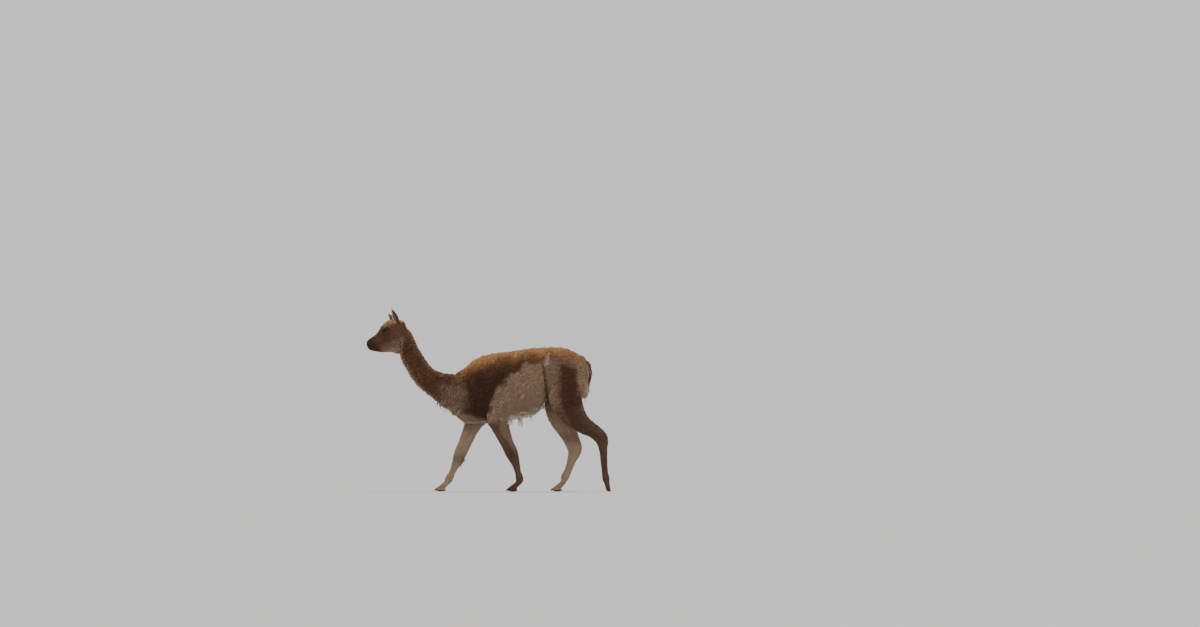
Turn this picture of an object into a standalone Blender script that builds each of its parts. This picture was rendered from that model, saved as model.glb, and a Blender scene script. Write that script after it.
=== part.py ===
"""A vicuna at a walk, life size, still, with its head turned a little to its left.

It faces -Y, its left side is +X and +Z is up. Each shape is first an outline swept along a line of
stations, in millimetres for an animal SHOULDER_HEIGHT tall. The swept shapes are melted into one
surface, smoothed where muscles flow into each other, and cut into named pieces with a thin gap.
"""

import bmesh
import bpy
import numpy as np
from mathutils import Vector
from mathutils.bvhtree import BVHTree

# Size of the animal, in metres. Every station below is for an animal 820 mm tall.
SHOULDER_HEIGHT = 0.82
MM = SHOULDER_HEIGHT / 820

# Gap between neighbouring pieces, face to face
GAP = 0.3 * MM

# Level of the horizontal cuts, and how near the midline the leg pieces stop
HINDLEG_TOP = 500 * MM
FORELEG_TOP = 410 * MM
FOOT_TOP = 80 * MM
FLANK_Y = 331 * MM

# Sizes of the melted surface and of what is kept of it
VOXEL = 4.5 * MM
BODY_TRIANGLES = 4800
HEAD_TRIANGLES = 1900
FOOT_TRIANGLES = 320
TAIL_TRIANGLES = 360

# How the head is held, in radians, and the point that it turns about
HEAD_PITCH = np.radians(14)
HEAD_YAW = np.radians(8.5)
HEAD_ROLL = np.radians(4.5)
HEAD_PIVOT = np.array([0, -536, 954]) * MM

# Planes that cut the neck off the head and off the trunk: a point and a direction
HEAD_CUT = (np.array([0, -521, 909]) * MM, np.array([0, 0.925, -0.377]))
NECK_CUT = (np.array([0, -233, 603]) * MM, np.array([0, 0.92, -0.386]))

# Eye: ball radius, its place on the head, thickness of the lids, half length and height between them
EYE_RADIUS = 19 * MM
EYE_PLACE = np.array([35.0, -80.0, 36.0])
LID = 2.8
EYE_OPENING = (14.5, 10.0)

# Stations of the trunk: y, top, bottom, half width
TRUNK = [
    (-262, 640, 560, 26),
    (-250, 682, 512, 46),
    (-212, 708, 468, 66),
    (-158, 740, 432, 82),
    (-104, 786, 420, 96),
    (-39, 819, 418, 112),
    (27, 836, 421, 127),
    (134, 848, 436, 141),
    (230, 863, 452, 146),
    (290, 869, 480, 143),
    (351, 872, 550, 136),
    (459, 868, 556, 126),
    (513, 849, 552, 113),
    (560, 820, 566, 94),
    (590, 780, 590, 68),
    (604, 730, 640, 34),
]

# Stations of the neck, legs and tail: x, y, z, half depth, half width
NECK = [
    (0, -82, 573, 128, 83),
    (0, -167, 588, 122, 80),
    (0, -250, 618, 100, 72),
    (0, -320, 651.5, 80, 64),
    (0, -384, 694, 71, 59),
    (0, -438, 764, 66, 55),
    (0, -472, 827.5, 63, 52),
    (0, -499, 891, 59, 48),
    (0, -523, 949.5, 53, 46),
    (0, -542, 991, 34, 36),
]

FORELEG_LEFT = [
    (66, -12, 726, 60, 30),
    (80, -26, 650, 84, 38),
    (84, 8, 572, 94, 42),
    (83, 46, 506, 76, 44),
    (82, 51.5, 439, 59, 41),
    (79, 79, 373, 50, 36),
    (76, 112, 294, 39, 31),
    (74, 144, 224, 37, 30),
    (73, 164, 173, 25.5, 23),
    (72, 179, 118, 18.5, 17),
    (72, 190, 67, 21, 20),
    (72, 191, 46, 9, 9),
]

FORELEG_RIGHT = [
    (-46, -36, 722, 54, 24),
    (-61, -60, 646, 78, 34),
    (-74, -58, 568, 88, 41),
    (-83, -56, 494, 74, 44),
    (-82, -79, 433, 56, 41),
    (-79, -112, 367, 45, 36),
    (-76, -142, 294, 39, 31),
    (-74, -176, 219, 36, 30),
    (-73, -198, 164, 25, 23),
    (-72, -219, 116, 18.5, 17),
    (-72, -244, 64, 21, 20),
    (-72, -249, 44, 9, 9),
]

HINDLEG_LEFT = [
    (66, 482, 748.5, 104, 46),
    (78, 464, 645.5, 114, 57),
    (80, 470, 561, 102, 55),
    (80, 506, 476, 80, 49),
    (78, 576, 403, 54, 37),
    (76, 639, 364, 43, 30),
    (74, 681, 324, 41, 26),
    (73, 694, 254.5, 25.5, 20),
    (72, 699, 182, 20.5, 17),
    (72, 706, 109, 19, 17),
    (72, 712, 70, 21, 20),
    (72, 712, 47, 9, 9),
]

HINDLEG_RIGHT = [
    (-66, 451.5, 736, 100, 46),
    (-78, 433, 633, 104, 57),
    (-80, 424, 554.5, 88, 55),
    (-80, 436, 470, 80, 49),
    (-78, 470, 391, 65, 37),
    (-76, 500, 324, 49, 30),
    (-74, 524, 254.5, 44, 26),
    (-73, 506, 191, 27.5, 20),
    (-72, 485, 130, 22, 17.5),
    (-72, 460.6, 76, 22, 20),
    (-72, 455, 52, 9, 9),
]

TAIL = [
    (0, 536, 812, 20, 26),
    (0, 562, 804, 21, 29),
    (0, 588, 780, 20, 30),
    (0, 602, 748, 18, 30),
    (0, 607, 712, 17, 29),
    (0, 603, 675, 17, 26),
    (0, 597, 642, 14, 20),
    (0, 594, 622, 10, 14),
    (0, 592, 610, 4, 6),
]

# Stations of the head: distance ahead of its pivot, top, bottom, half width
HEAD = [
    (-46, 40, 10, 12),
    (-40, 62, -22, 32),
    (-22, 80, -48, 43),
    (0, 92, -88, 47),
    (25, 98, -110, 50),
    (50, 98, -110, 53),
    (76, 88, -96, 54),
    (100, 72, -89, 46),
    (120, 52, -85, 38),
    (140, 36, -79, 33),
    (160, 27, -71, 31),
    (178, 20, -63, 30),
    (192, 14, -56, 28),
    (202, 8, -49, 24),
    (208, 0, -42, 17),
    (211, -10, -33, 8),
]

# Swellings and hollows of one side of the head: x, ahead, up, reach and height
HEAD_FORMS = [
    (48, 80, 38, 24, 5.0),
    (50, 86, 32, 36, 4.5),
    (46, 74, 60, 17, 3.0),
    (38, 112, 14, 17, -3.5),
    (46, 40, -45, 34, 4.0),
    (28, 182, -4, 13, 3.0),
    (24, 186, -48, 12, 2.0),
    (40, 128, -36, 17, -3.0),
    (44, 14, 20, 20, -2.5),
]

# Line of the closed mouth: ahead, up
MOUTH = [(208, -21), (196, -26), (180, -32), (162, -38), (148, -44), (141, -49)]

# Ears: lean forwards and to the side in degrees, for the left and the right one
EAR_LENGTH = 100
EAR_BASE = (30, 2, 62)
EAR_HOLD = {"left": (14, 14), "right": (27, 42)}

# Ear along its length: part of the length, radius, half of the angle that the cup closes, thickness
EAR = [
    (0.0, 12, 165, 10.0),
    (0.1, 15, 155, 6.0),
    (0.24, 17.5, 138, 4.0),
    (0.42, 18.5, 112, 3.2),
    (0.6, 16, 95, 3.0),
    (0.76, 12, 80, 2.8),
    (0.9, 6.5, 68, 2.4),
    (0.97, 3.0, 60, 2.0),
]

# Each foot: side, fetlock y, whether the sole is flat on the ground, and its leg
FEET = {
    "forefoot_left": (1, 190, True, FORELEG_LEFT),
    "forefoot_right": (-1, -244, True, FORELEG_RIGHT),
    "hindfoot_left": (1, 712, False, HINDLEG_LEFT),
    "hindfoot_right": (-1, 460.6, True, HINDLEG_RIGHT),
}
STANCE = 72
TOE_SPREAD = 12.5

# A toe behind (+) or ahead (-) of the fetlock, height, half depth, half width
FLAT_TOE = [
    (6, 104, 15, 9),
    (2, 82, 18, 11),
    (-6, 60, 17, 12),
    (-20, 42, 16, 12),
    (-38, 27, 17, 13),
    (-56, 17, 14, 12),
    (-68, 12, 10, 9.5),
    (-75, 10, 4, 4),
]
PUSHING_TOE = [
    (-3, 104, 15, 9),
    (0, 82, 18, 11),
    (3, 62, 17, 12),
    (7, 42, 15, 12.5),
    (11, 24, 14, 12.5),
    (16, 9, 12, 11.5),
    (19, 0, 9, 9),
    (20, -5, 4, 4),
]
PAD = (-43, 11, 29, 14, 13.5)
FLAT_NAIL = [(-58, 22, 3, 4), (-66, 19, 5.5, 6), (-74, 14, 5.5, 5.5), (-81, 7, 3, 3), (-83, 4, 1, 1)]
PUSHING_NAIL = [(-1, 27, 3, 4), (2, 19, 5.5, 6), (7, 10, 5, 5.5), (13, 4, 2.5, 3), (15, 2.5, 1, 1)]

# Hanging locks of hair under the belly: how many, lowest and highest y, half the spread in x,
# length, half width and lie. At the tip of the tail: how many, length and half width.
BELLY_LOCKS = (11, 124, 262, 50, (30, 68), (5, 8), (0, 0.16, -0.99))
TAIL_LOCKS = (6, (28, 46), (6, 8))

# Colour and roughness of each material, and the material of the nodes whose names start so
LOOKS = {
    "cinnamon_coat": ((0.36, 0.17, 0.07), 0.9),
    "pale_coat": ((0.55, 0.42, 0.28), 0.9),
    "eye": ((0.01, 0.007, 0.005), 0.1),
    "nail": ((0.03, 0.025, 0.02), 0.5),
}
NODE_LOOKS = {
    "eye": "eye",
    "nail": "nail",
    "fore": "pale_coat",
    "hind": "pale_coat",
    "": "cinnamon_coat",
}


def clear_scene():
    for obj in list(bpy.data.objects):
        bpy.data.objects.remove(obj)


def add_object(name, points, faces):
    """An object with this mesh, its points in metres."""
    mesh = bpy.data.meshes.new(name)
    mesh.from_pydata([tuple(p) for p in points], [], [tuple(int(i) for i in f) for f in faces])
    mesh.update()
    obj = bpy.data.objects.new(name, mesh)
    bpy.context.collection.objects.link(obj)
    return obj


def along(stations, count, places=3):
    """Rows between stations on a cubic Hermite curve, evenly spaced by the first places columns."""
    rows = np.array(stations, float)
    steps = np.linalg.norm(np.diff(rows[:, :places], axis=0), axis=1)
    t = np.concatenate([[0], np.cumsum(steps)])
    slope = np.gradient(rows, t, axis=0)
    at = np.linspace(0, t[-1], count)
    k = np.clip(np.searchsorted(t, at, side="right") - 1, 0, len(t) - 2)
    h = (t[k + 1] - t[k])[:, None]
    f = (at - t[k])[:, None] / h
    start = (2 * f**3 - 3 * f**2 + 1) * rows[k] + (f**3 - 2 * f**2 + f) * h * slope[k]
    end = (3 * f**2 - 2 * f**3) * rows[k + 1] + (f**3 - f**2) * h * slope[k + 1]
    return start + end


def tube_faces(rings, sides):
    """Faces of a tube of rings, with a fan at each end about one more point there."""
    i, v = np.meshgrid(np.arange(rings - 1), np.arange(sides), indexing="ij")
    i = i.ravel()
    v = v.ravel()
    w = (v + 1) % sides
    walls = np.stack([i * sides + v, (i + 1) * sides + v, (i + 1) * sides + w, i * sides + w], 1)
    v = np.arange(sides)
    w = (v + 1) % sides
    first = np.stack([v, w, np.full(sides, rings * sides)], 1)
    last = np.stack([w, v, np.full(sides, rings * sides + 1)], 1) + [
        (rings - 1) * sides,
        (rings - 1) * sides,
        0,
    ]
    return [*walls, *first, *last]


def add_tube(name, rings):
    """A closed tube through rings, an array of (rings, sides, 3) in metres."""
    count, sides, _ = rings.shape
    ends = [rings[0].mean(0), rings[-1].mean(0)]
    return add_object(name, [*rings.reshape(-1, 3), *ends], tube_faces(count, sides))


def sweep(stations, count, sides, across=(1, 0, 0)):
    """Rings c + hw cos v L + hd sin v N, v round each ring, about a line of stations.

    L is the direction across, made square to the line's own direction T, and N is L x T.
    """
    rows = along(stations, count)
    centre = rows[:, :3]
    t = np.gradient(centre, axis=0)
    t /= np.linalg.norm(t, axis=1)[:, None]
    side = np.array(across, float) - t * (t @ np.array(across, float))[:, None]
    side /= np.linalg.norm(side, axis=1)[:, None]
    normal = np.cross(side, t)
    v = np.linspace(0, 2 * np.pi, sides, endpoint=False)
    wide = rows[:, 4:5] * np.cos(v)
    deep = rows[:, 3:4] * np.sin(v)
    ring = centre[:, None] + wide[:, :, None] * side[:, None] + deep[:, :, None] * normal[:, None]
    return ring * MM


def trunk_rings(count, sides):
    """Upright rings between the top line and the belly line, slimmer above than below."""
    rows = along([(0, y, (top + low) / 2, (top - low) / 2, wide) for y, top, low, wide in TRUNK], count)
    v = np.linspace(0, 2 * np.pi, sides, endpoint=False)
    x = rows[:, 4:5] * np.cos(v) * (1 - 0.14 * np.sin(v))
    z = rows[:, 2:3] + rows[:, 3:4] * np.sin(v)
    return np.stack([x, np.broadcast_to(rows[:, 1:2], x.shape), z], 2) * MM


def ball(name, centre, radii, detail=3):
    """An ellipsoid from an icosphere, in metres."""
    mesh = bpy.data.meshes.new(name)
    shape = bmesh.new()
    bmesh.ops.create_icosphere(shape, subdivisions=detail, radius=1)
    for vertex in shape.verts:
        vertex.co = Vector(centre + np.array(vertex.co) * radii)
    shape.to_mesh(mesh)
    shape.free()
    obj = bpy.data.objects.new(name, mesh)
    bpy.context.collection.objects.link(obj)
    return obj


def points_of(obj):
    points = np.empty(len(obj.data.vertices) * 3, np.float32)
    obj.data.vertices.foreach_get("co", points)
    return points.reshape(-1, 3).astype(float)


def move_points(obj, points):
    obj.data.vertices.foreach_set("co", np.asarray(points, np.float32).ravel())
    obj.data.update()


def bake_modifier(obj, kind, **settings):
    """Adds one modifier, keeps the mesh that it makes and removes it."""
    modifier = obj.modifiers.new(kind, kind)
    for key, value in settings.items():
        setattr(modifier, key, value)
    graph = bpy.context.evaluated_depsgraph_get()
    made = bpy.data.meshes.new_from_object(obj.evaluated_get(graph))
    obj.modifiers.clear()
    obj.data = made


def discard(*objects):
    for obj in objects:
        bpy.data.objects.remove(obj)


def joined(name, pieces):
    """One object with the faces of all pieces, which still pass through each other."""
    points = []
    faces = []
    for piece in pieces:
        start = len(points)
        points.extend(points_of(piece))
        faces.extend([start + i for i in face.vertices] for face in piece.data.polygons)
    discard(*pieces)
    return add_object(name, points, faces)


def edges_of(obj):
    edges = np.empty(len(obj.data.edges) * 2, np.int32)
    obj.data.edges.foreach_get("vertices", edges)
    return edges.reshape(-1, 2)


def relax(obj, rounds, weight, back=0.0):
    """Moves each point towards the mean of its neighbours, p += w (mean - p), w = weight(p).

    A round with back moves it away again by back times w, so that thin parts keep their size.
    """
    points = points_of(obj)
    edges = edges_of(obj)
    ends = np.concatenate([edges[:, 0], edges[:, 1]])
    others = np.concatenate([edges[:, 1], edges[:, 0]])
    degree = np.bincount(ends, minlength=len(points))[:, None]
    w = weight(points)[:, None]
    for turn in range(rounds):
        for share in (w, -back * w) if back else (w,):
            total = np.stack([np.bincount(ends, points[others, k], len(points)) for k in range(3)], 1)
            points = points + share * (total / degree - points)
    move_points(obj, points)


def melted(name, pieces, voxel, triangles=None, rounds=4, weight=None):
    """The pieces as one closed surface, smoothed, with about this many triangles."""
    obj = joined(name, pieces)
    bake_modifier(obj, "REMESH", mode="VOXEL", voxel_size=voxel)
    keep_largest(obj)
    relax(obj, rounds, weight or (lambda p: np.full(len(p), 0.5)), back=1.02)
    if triangles:
        thin_out(obj, triangles)
    return obj


def thin_out(obj, triangles):
    """Leaves about this many triangles."""
    bake_modifier(obj, "TRIANGULATE")
    share = triangles / len(obj.data.polygons)
    if share < 1:
        bake_modifier(obj, "DECIMATE", ratio=share)


def use_once(obj, tool, operation):
    """One Boolean with another object, which then goes."""
    bake_modifier(obj, "BOOLEAN", operation=operation, object=tool, solver="EXACT")
    discard(tool)


def copy_of(obj, name):
    new = obj.copy()
    new.data = obj.data.copy()
    new.name = name
    bpy.context.collection.objects.link(new)
    return new


def trim(obj, point, direction):
    """Cuts off what lies beyond a plane and closes the cut."""
    shape = bmesh.new()
    shape.from_mesh(obj.data)
    everything = shape.verts[:] + shape.edges[:] + shape.faces[:]
    bmesh.ops.bisect_plane(
        shape,
        geom=everything,
        plane_co=Vector(point),
        plane_no=Vector(direction),
        clear_outer=True,
    )
    bmesh.ops.remove_doubles(shape, verts=shape.verts[:], dist=0.02 * MM)
    rim = [edge for edge in shape.edges if edge.is_boundary]
    bmesh.ops.triangle_fill(shape, use_beauty=True, edges=rim)
    bmesh.ops.recalc_face_normals(shape, faces=shape.faces[:])
    shape.to_mesh(obj.data)
    shape.free()


def keep_largest(obj):
    """Leaves only the closed surface with the largest box."""
    shape = bmesh.new()
    shape.from_mesh(obj.data)
    left = set(shape.verts)
    groups = []
    while left:
        stack = [left.pop()]
        group = set(stack)
        while stack:
            for edge in stack.pop().link_edges:
                for vertex in edge.verts:
                    if vertex in left:
                        left.discard(vertex)
                        group.add(vertex)
                        stack.append(vertex)
        groups.append(group)
    groups.sort(key=lambda g: np.ptp([v.co[:] for v in g], axis=0).prod())
    loose = [vertex for group in groups[:-1] for vertex in group]
    bmesh.ops.delete(shape, geom=loose, context="VERTS")
    shape.to_mesh(obj.data)
    shape.free()


def swollen(obj, by):
    """A copy grown along its normals."""
    new = copy_of(obj, "swollen")
    normals = np.empty(len(new.data.vertices) * 3, np.float32)
    new.data.vertices.foreach_get("normal", normals)
    move_points(new, points_of(new) + by * normals.reshape(-1, 3))
    return new


def seat_on(piece, parent):
    """Cuts the piece back to a gap from the parent that it grows from."""
    use_once(piece, swollen(parent, GAP * 1.3), "DIFFERENCE")
    keep_largest(piece)


def box(name, low, high):
    corners = [(x, y, z) for x in (low[0], high[0]) for y in (low[1], high[1]) for z in (low[2], high[2])]
    sides = [(0, 1, 3, 2), (4, 6, 7, 5), (0, 4, 5, 1), (2, 3, 7, 6), (0, 2, 6, 4), (1, 5, 7, 3)]
    return add_object(name, corners, sides)


def turn(axis, angle):
    """The matrix of a turn about axis 0, 1 or 2, anticlockwise as seen from its far end."""
    c = np.cos(angle)
    s = np.sin(angle)
    i = (axis + 1) % 3
    j = (axis + 2) % 3
    m = np.eye(3)
    m[i, i] = c
    m[i, j] = -s
    m[j, i] = s
    m[j, j] = c
    return m


HEAD_TURN = turn(2, HEAD_YAW) @ turn(0, HEAD_PITCH) @ turn(1, -HEAD_ROLL)


def place_on_head(points):
    """From the head's own frame, x to its left, y behind its pivot and z up, in mm, to the world."""
    return HEAD_PIVOT + (np.asarray(points, float) * MM) @ HEAD_TURN.T


def head_rings(count, sides):
    """The head's surface in its own frame, narrower below and with its swellings and hollows."""
    rows = along([(s, 0, 0, top, low, wide) for s, top, low, wide in HEAD], count)
    v = np.linspace(0, 2 * np.pi, sides, endpoint=False)
    middle = (rows[:, 3:4] + rows[:, 4:5]) / 2
    deep = (rows[:, 3:4] - rows[:, 4:5]) / 2
    below = np.clip(-np.sin(v), 0, 1)
    above = np.clip(np.sin(v), 0, 1)
    x = rows[:, 5:6] * np.sign(np.cos(v)) * np.abs(np.cos(v)) ** (1 - 0.3 * above)
    x = x * (1 - 0.34 * below**1.5)
    z = middle + deep * np.sin(v)
    points = np.stack([x, np.broadcast_to(-rows[:, 0:1], x.shape), z], 2)
    outward = np.stack([np.sign(x) * 0.9, 0 * x, 0 * x], 2)
    for at_x, ahead, up, reach, height in HEAD_FORMS:
        away = np.abs(points) - [at_x, 0, 0]
        away[:, :, 1] = points[:, :, 1] + ahead
        away[:, :, 2] = points[:, :, 2] - up
        push = height * np.exp(-((away / reach) ** 2).sum(2))
        points = points + push[:, :, None] * outward
    return points


def side_of_head(ahead, up):
    """Half the width of the head at a place on its side."""
    s, top, low, wide = np.array(HEAD, float).T
    middle = (np.interp(ahead, s, top) + np.interp(ahead, s, low)) / 2
    deep = (np.interp(ahead, s, top) - np.interp(ahead, s, low)) / 2
    height = np.clip((up - middle) / deep, -1, 1)
    below = np.clip(-height, 0, 1)
    return np.interp(ahead, s, wide) * np.sqrt(1 - height**2) * (1 - 0.34 * below**1.5)


def eye_axes(side):
    """Where an eye looks, the line between its corners and the way up across it."""
    out = np.array([side * 0.93, -0.30, 0.14])
    out /= np.linalg.norm(out)
    corner = np.array([0, -np.cos(0.3), -np.sin(0.3)])
    corner -= out * (out @ corner)
    corner /= np.linalg.norm(corner)
    up = np.cross(out, corner) * side
    return out, corner, up * np.sign(up[2])


def eye_centre(side):
    return EYE_PLACE * [side, 1, 1]


def add_lid_bulge(side):
    """The ball of skin over the eyeball, from which the opening between the lids is cut."""
    centre = place_on_head(eye_centre(side))
    return ball("bulge", centre, np.full(3, EYE_RADIUS + LID * MM))


def lid_opening(side):
    """An almond that runs out from inside the eye, its lower edge flatter than its upper one."""
    out, corner, up = eye_axes(side)
    turns = np.linspace(0, 2 * np.pi, 18, endpoint=False)
    long = EYE_OPENING[0] * np.cos(turns)
    high = EYE_OPENING[1] * np.sin(turns) * np.where(np.sin(turns) > 0, 1.0, 0.8)
    flat = long[:, None] * corner + high[:, None] * up
    middle = eye_centre(side)
    rings = np.array([middle + 0.55 * EYE_RADIUS / MM * out + 0.9 * flat, middle + 34 * out + 1.25 * flat])
    obj = add_tube("opening", place_on_head(rings.reshape(-1, 3)).reshape(rings.shape))
    outward_faces(obj)
    return obj


def outward_faces(obj):
    """Turns the faces of closed surfaces to look outwards."""
    shape = bmesh.new()
    shape.from_mesh(obj.data)
    bmesh.ops.recalc_face_normals(shape, faces=shape.faces[:])
    shape.to_mesh(obj.data)
    shape.free()


def mouth_groove():
    """A thin tube along the line between the lips, from one corner round the front to the other."""
    line = along([(a, u, 0) for a, u in MOUTH], 14)
    wide = side_of_head(line[:, 0], line[:, 1])
    left = np.stack([wide, -line[:, 0], line[:, 1]], 1)
    front = [[0, -212.5, -20]]
    path = np.concatenate([left[::-1], front, left * [-1, 1, 1]])
    stations = [(*p, 5.0, 1.2) for p in path]
    rings = sweep(stations, 32, 5, across=(0, 0, 1)) / MM
    obj = add_tube("groove", place_on_head(rings.reshape(-1, 3)).reshape(rings.shape))
    outward_faces(obj)
    return obj


def nostril(side):
    """A slit that runs back and outwards from the tip of the nose."""
    stations = [
        (side * 7, -211, -8, 1.2, 2.0),
        (side * 12, -208, -3, 2.2, 4.5),
        (side * 19, -200, 2, 2.4, 5.0),
        (side * 24, -191, 4, 1.2, 3.0),
    ]
    rings = sweep(stations, 6, 6, across=(side * 0.5, -0.8, 0.2)) / MM
    obj = add_tube("nostril", place_on_head(rings.reshape(-1, 3)).reshape(rings.shape))
    outward_faces(obj)
    return obj


def add_ear(name, side, lean, splay):
    """A pointed cup: at each height a C of this radius, thickness and angle, open forwards."""
    axis = np.array([side * np.sin(np.radians(splay)), -np.sin(np.radians(lean)), 1.0])
    axis /= np.linalg.norm(axis)
    open_to = np.array([side * 0.62, -0.78, 0])
    open_to -= axis * (axis @ open_to)
    open_to /= np.linalg.norm(open_to)
    beside = np.cross(axis, open_to)
    rows = along([(u * EAR_LENGTH, 0, 0, r, a, t) for u, r, a, t in EAR], 11)
    bend = np.linspace(-1, 1, 7)
    rings = []
    for height, _, _, radius, angle, thick in rows:
        part = height / EAR_LENGTH
        # the tip leans in and a little back
        centre = axis * height + np.array([-side * 7, 3, 0]) * part**2 - open_to * 5 * part
        turns = np.radians(angle) * bend
        # the cup is narrower across than it is deep
        spread = -open_to * np.cos(turns)[:, None] + 1.12 * beside * np.sin(turns)[:, None]
        outer = centre + radius * spread
        inner = centre + max(radius - thick, 0.15 * radius) * spread
        rings.append(np.concatenate([outer, inner[::-1]]))
    base = np.array([side * EAR_BASE[0], -EAR_BASE[1], EAR_BASE[2]])
    rings = np.array(rings) + base
    obj = add_tube(name, place_on_head(rings.reshape(-1, 3)).reshape(rings.shape))
    outward_faces(obj)
    return obj


def toe_stations(rows, x, side_step, y):
    """Stations of one toe of a foot, spread more from its twin towards the tip."""
    part = np.linspace(0.45, 1.0, len(rows))
    return [(x + side_step * k, y + dy, z, hd, hw) for k, (dy, z, hd, hw) in zip(part, rows)]


def add_foot(name):
    """Two toes with a pad under each, melted together, flat on the ground."""
    side, y, flat, leg = FEET[name]
    x = side * STANCE
    pieces = [add_tube("shank", sweep(leg[-4:], 20, 24))]
    for step in (-TOE_SPREAD, TOE_SPREAD):
        rows = FLAT_TOE if flat else PUSHING_TOE
        pieces.append(add_tube("toe", sweep(toe_stations(rows, x, step, y), 20, 14)))
        if flat:
            dy, z, long, high, wide = PAD
            centre = np.array([x + step * 0.92, y + dy, z]) * MM
            pieces.append(ball("pad", centre, np.array([wide, long, high]) * MM))
    foot = melted(name, pieces, 2.2 * MM, rounds=6)
    thin_out(foot, FOOT_TRIANGLES)
    trim(foot, (0, 0, 0), (0, 0, -1))
    trim(foot, (0, 0, FOOT_TOP - GAP / 2), (0, 0, 1))
    return foot


def add_nails(name, foot):
    """The two nails of a foot, each a hooked wedge over the tip of its toe."""
    side, y, flat, _ = FEET[name]
    rows = FLAT_NAIL if flat else PUSHING_NAIL
    for place, step in (("inner", -side * TOE_SPREAD), ("outer", side * TOE_SPREAD)):
        stations = [(side * STANCE + step, y + dy, z, hd, hw) for dy, z, hd, hw in rows]
        nail = add_tube(f"nail_{name}_{place}", sweep(stations, 6, 8))
        seat_on(nail, foot)


def add_lock(name, root, lie, length, wide):
    """A flat tapering lock: centre root + u lie + u^2 sag, from a little inside the skin to a thin tip."""
    u = np.array([-0.3, 0.0, 0.3, 0.6, 0.85, 1.0])
    lie = np.array(lie, float) / np.linalg.norm(lie)
    sag = np.array([0, -0.12, -0.1]) * length
    centre = root + np.outer(u, lie) * length + np.outer(np.clip(u, 0, 1) ** 2, sag)
    share = np.array([0.8, 1.0, 0.95, 0.7, 0.36, 0.1])
    stations = [(*c, wide * k * 0.32, wide * k) for c, k in zip(centre, share)]
    return add_tube(name, sweep(stations, 6, 4))


def unite(obj, pieces):
    """One Boolean union with all pieces, which then go."""
    group = bpy.data.collections.new("locks")
    for piece in pieces:
        group.objects.link(piece)
    bake_modifier(
        obj, "BOOLEAN", operation="UNION", operand_type="COLLECTION", collection=group, solver="EXACT"
    )
    discard(*pieces)
    bpy.data.collections.remove(group)
    keep_largest(obj)


def add_belly_locks(torso, rng):
    """Locks under the belly, rooted where a line from below meets the skin."""
    count, low, high, spread, lengths, widths, lie = BELLY_LOCKS
    tree = BVHTree.FromObject(torso, bpy.context.evaluated_depsgraph_get())
    locks = []
    for i in range(count):
        y = low + (high - low) * (i + rng.uniform(0.2, 0.8)) / count
        x = rng.uniform(-spread, spread)
        hit = tree.ray_cast(Vector((x, y, 100)) * MM, Vector((0, 0, 1)))[0]
        lean = np.array(lie) + rng.uniform(-0.12, 0.12, 3)
        root = np.array(hit) / MM
        locks.append(add_lock("hair", root, lean, rng.uniform(*lengths), rng.uniform(*widths)))
    unite(torso, locks)


def add_tail_locks(tail, rng):
    """Locks that fan out from the tip of the tail."""
    count, lengths, widths = TAIL_LOCKS
    locks = []
    for i in range(count):
        across = (i - (count - 1) / 2) / count
        root = np.array([across * 30, 595 + rng.uniform(-4, 6), 618 + 18 * abs(across)])
        lie = (across * 0.7, rng.uniform(-0.1, 0.15), -1)
        locks.append(add_lock("hair", root, lie, rng.uniform(*lengths), rng.uniform(*widths)))
    unite(tail, locks)


def flow(points):
    """How freely the surface may flow: much at shoulder, hip and base of the neck, little elsewhere."""
    y = points[:, 1] / MM
    z = points[:, 2] / MM
    x = np.abs(points[:, 0]) / MM
    trunk = (1 / (1 + np.exp(-(z - 400) / 25))) * (1 / (1 + np.exp(-(y + 330) / 20)))
    thigh = np.exp(-(((y - 480) / 130) ** 2) - ((z - 470) / 90) ** 2)
    inside = np.where(x < 45, 0.6, 1.0)
    return 0.12 + 0.42 * np.clip(trunk + thigh, 0, 1) * inside


def add_material(name, colour, roughness):
    """A plain material, its colour as linear red, green and blue."""
    material = bpy.data.materials.new(name)
    material.use_nodes = True
    shader = material.node_tree.nodes["Principled BSDF"]
    shader.inputs["Base Color"].default_value = (*colour, 1)
    shader.inputs["Roughness"].default_value = roughness
    shader.inputs["Metallic"].default_value = 0
    return material


def finish():
    """Sets the origin under the middle of the whole, and gives each node its place, parent and material."""
    nodes = [obj for obj in bpy.data.objects if obj.type == "MESH"]
    points = np.concatenate([points_of(obj) for obj in nodes])
    low = points.min(0)
    high = points.max(0)
    origin = np.array([(low[0] + high[0]) / 2, (low[1] + high[1]) / 2, low[2]])
    looks = {name: add_material(name, *look) for name, look in LOOKS.items()}
    root = bpy.data.objects.new("vicuna", None)
    bpy.context.collection.objects.link(root)
    for obj in nodes:
        points = points_of(obj) - origin
        place = np.round((points.min(0) + points.max(0)) / 2, 3)
        move_points(obj, points - place)
        obj.location = place
        obj.parent = root
        kind = next(kind for kind in NODE_LOOKS if obj.name.startswith(kind))
        obj.data.materials.clear()
        obj.data.materials.append(looks[NODE_LOOKS[kind]])
        obj.data.shade_smooth()
        obj.data.set_sharp_from_angle(angle=np.radians(50))


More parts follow.
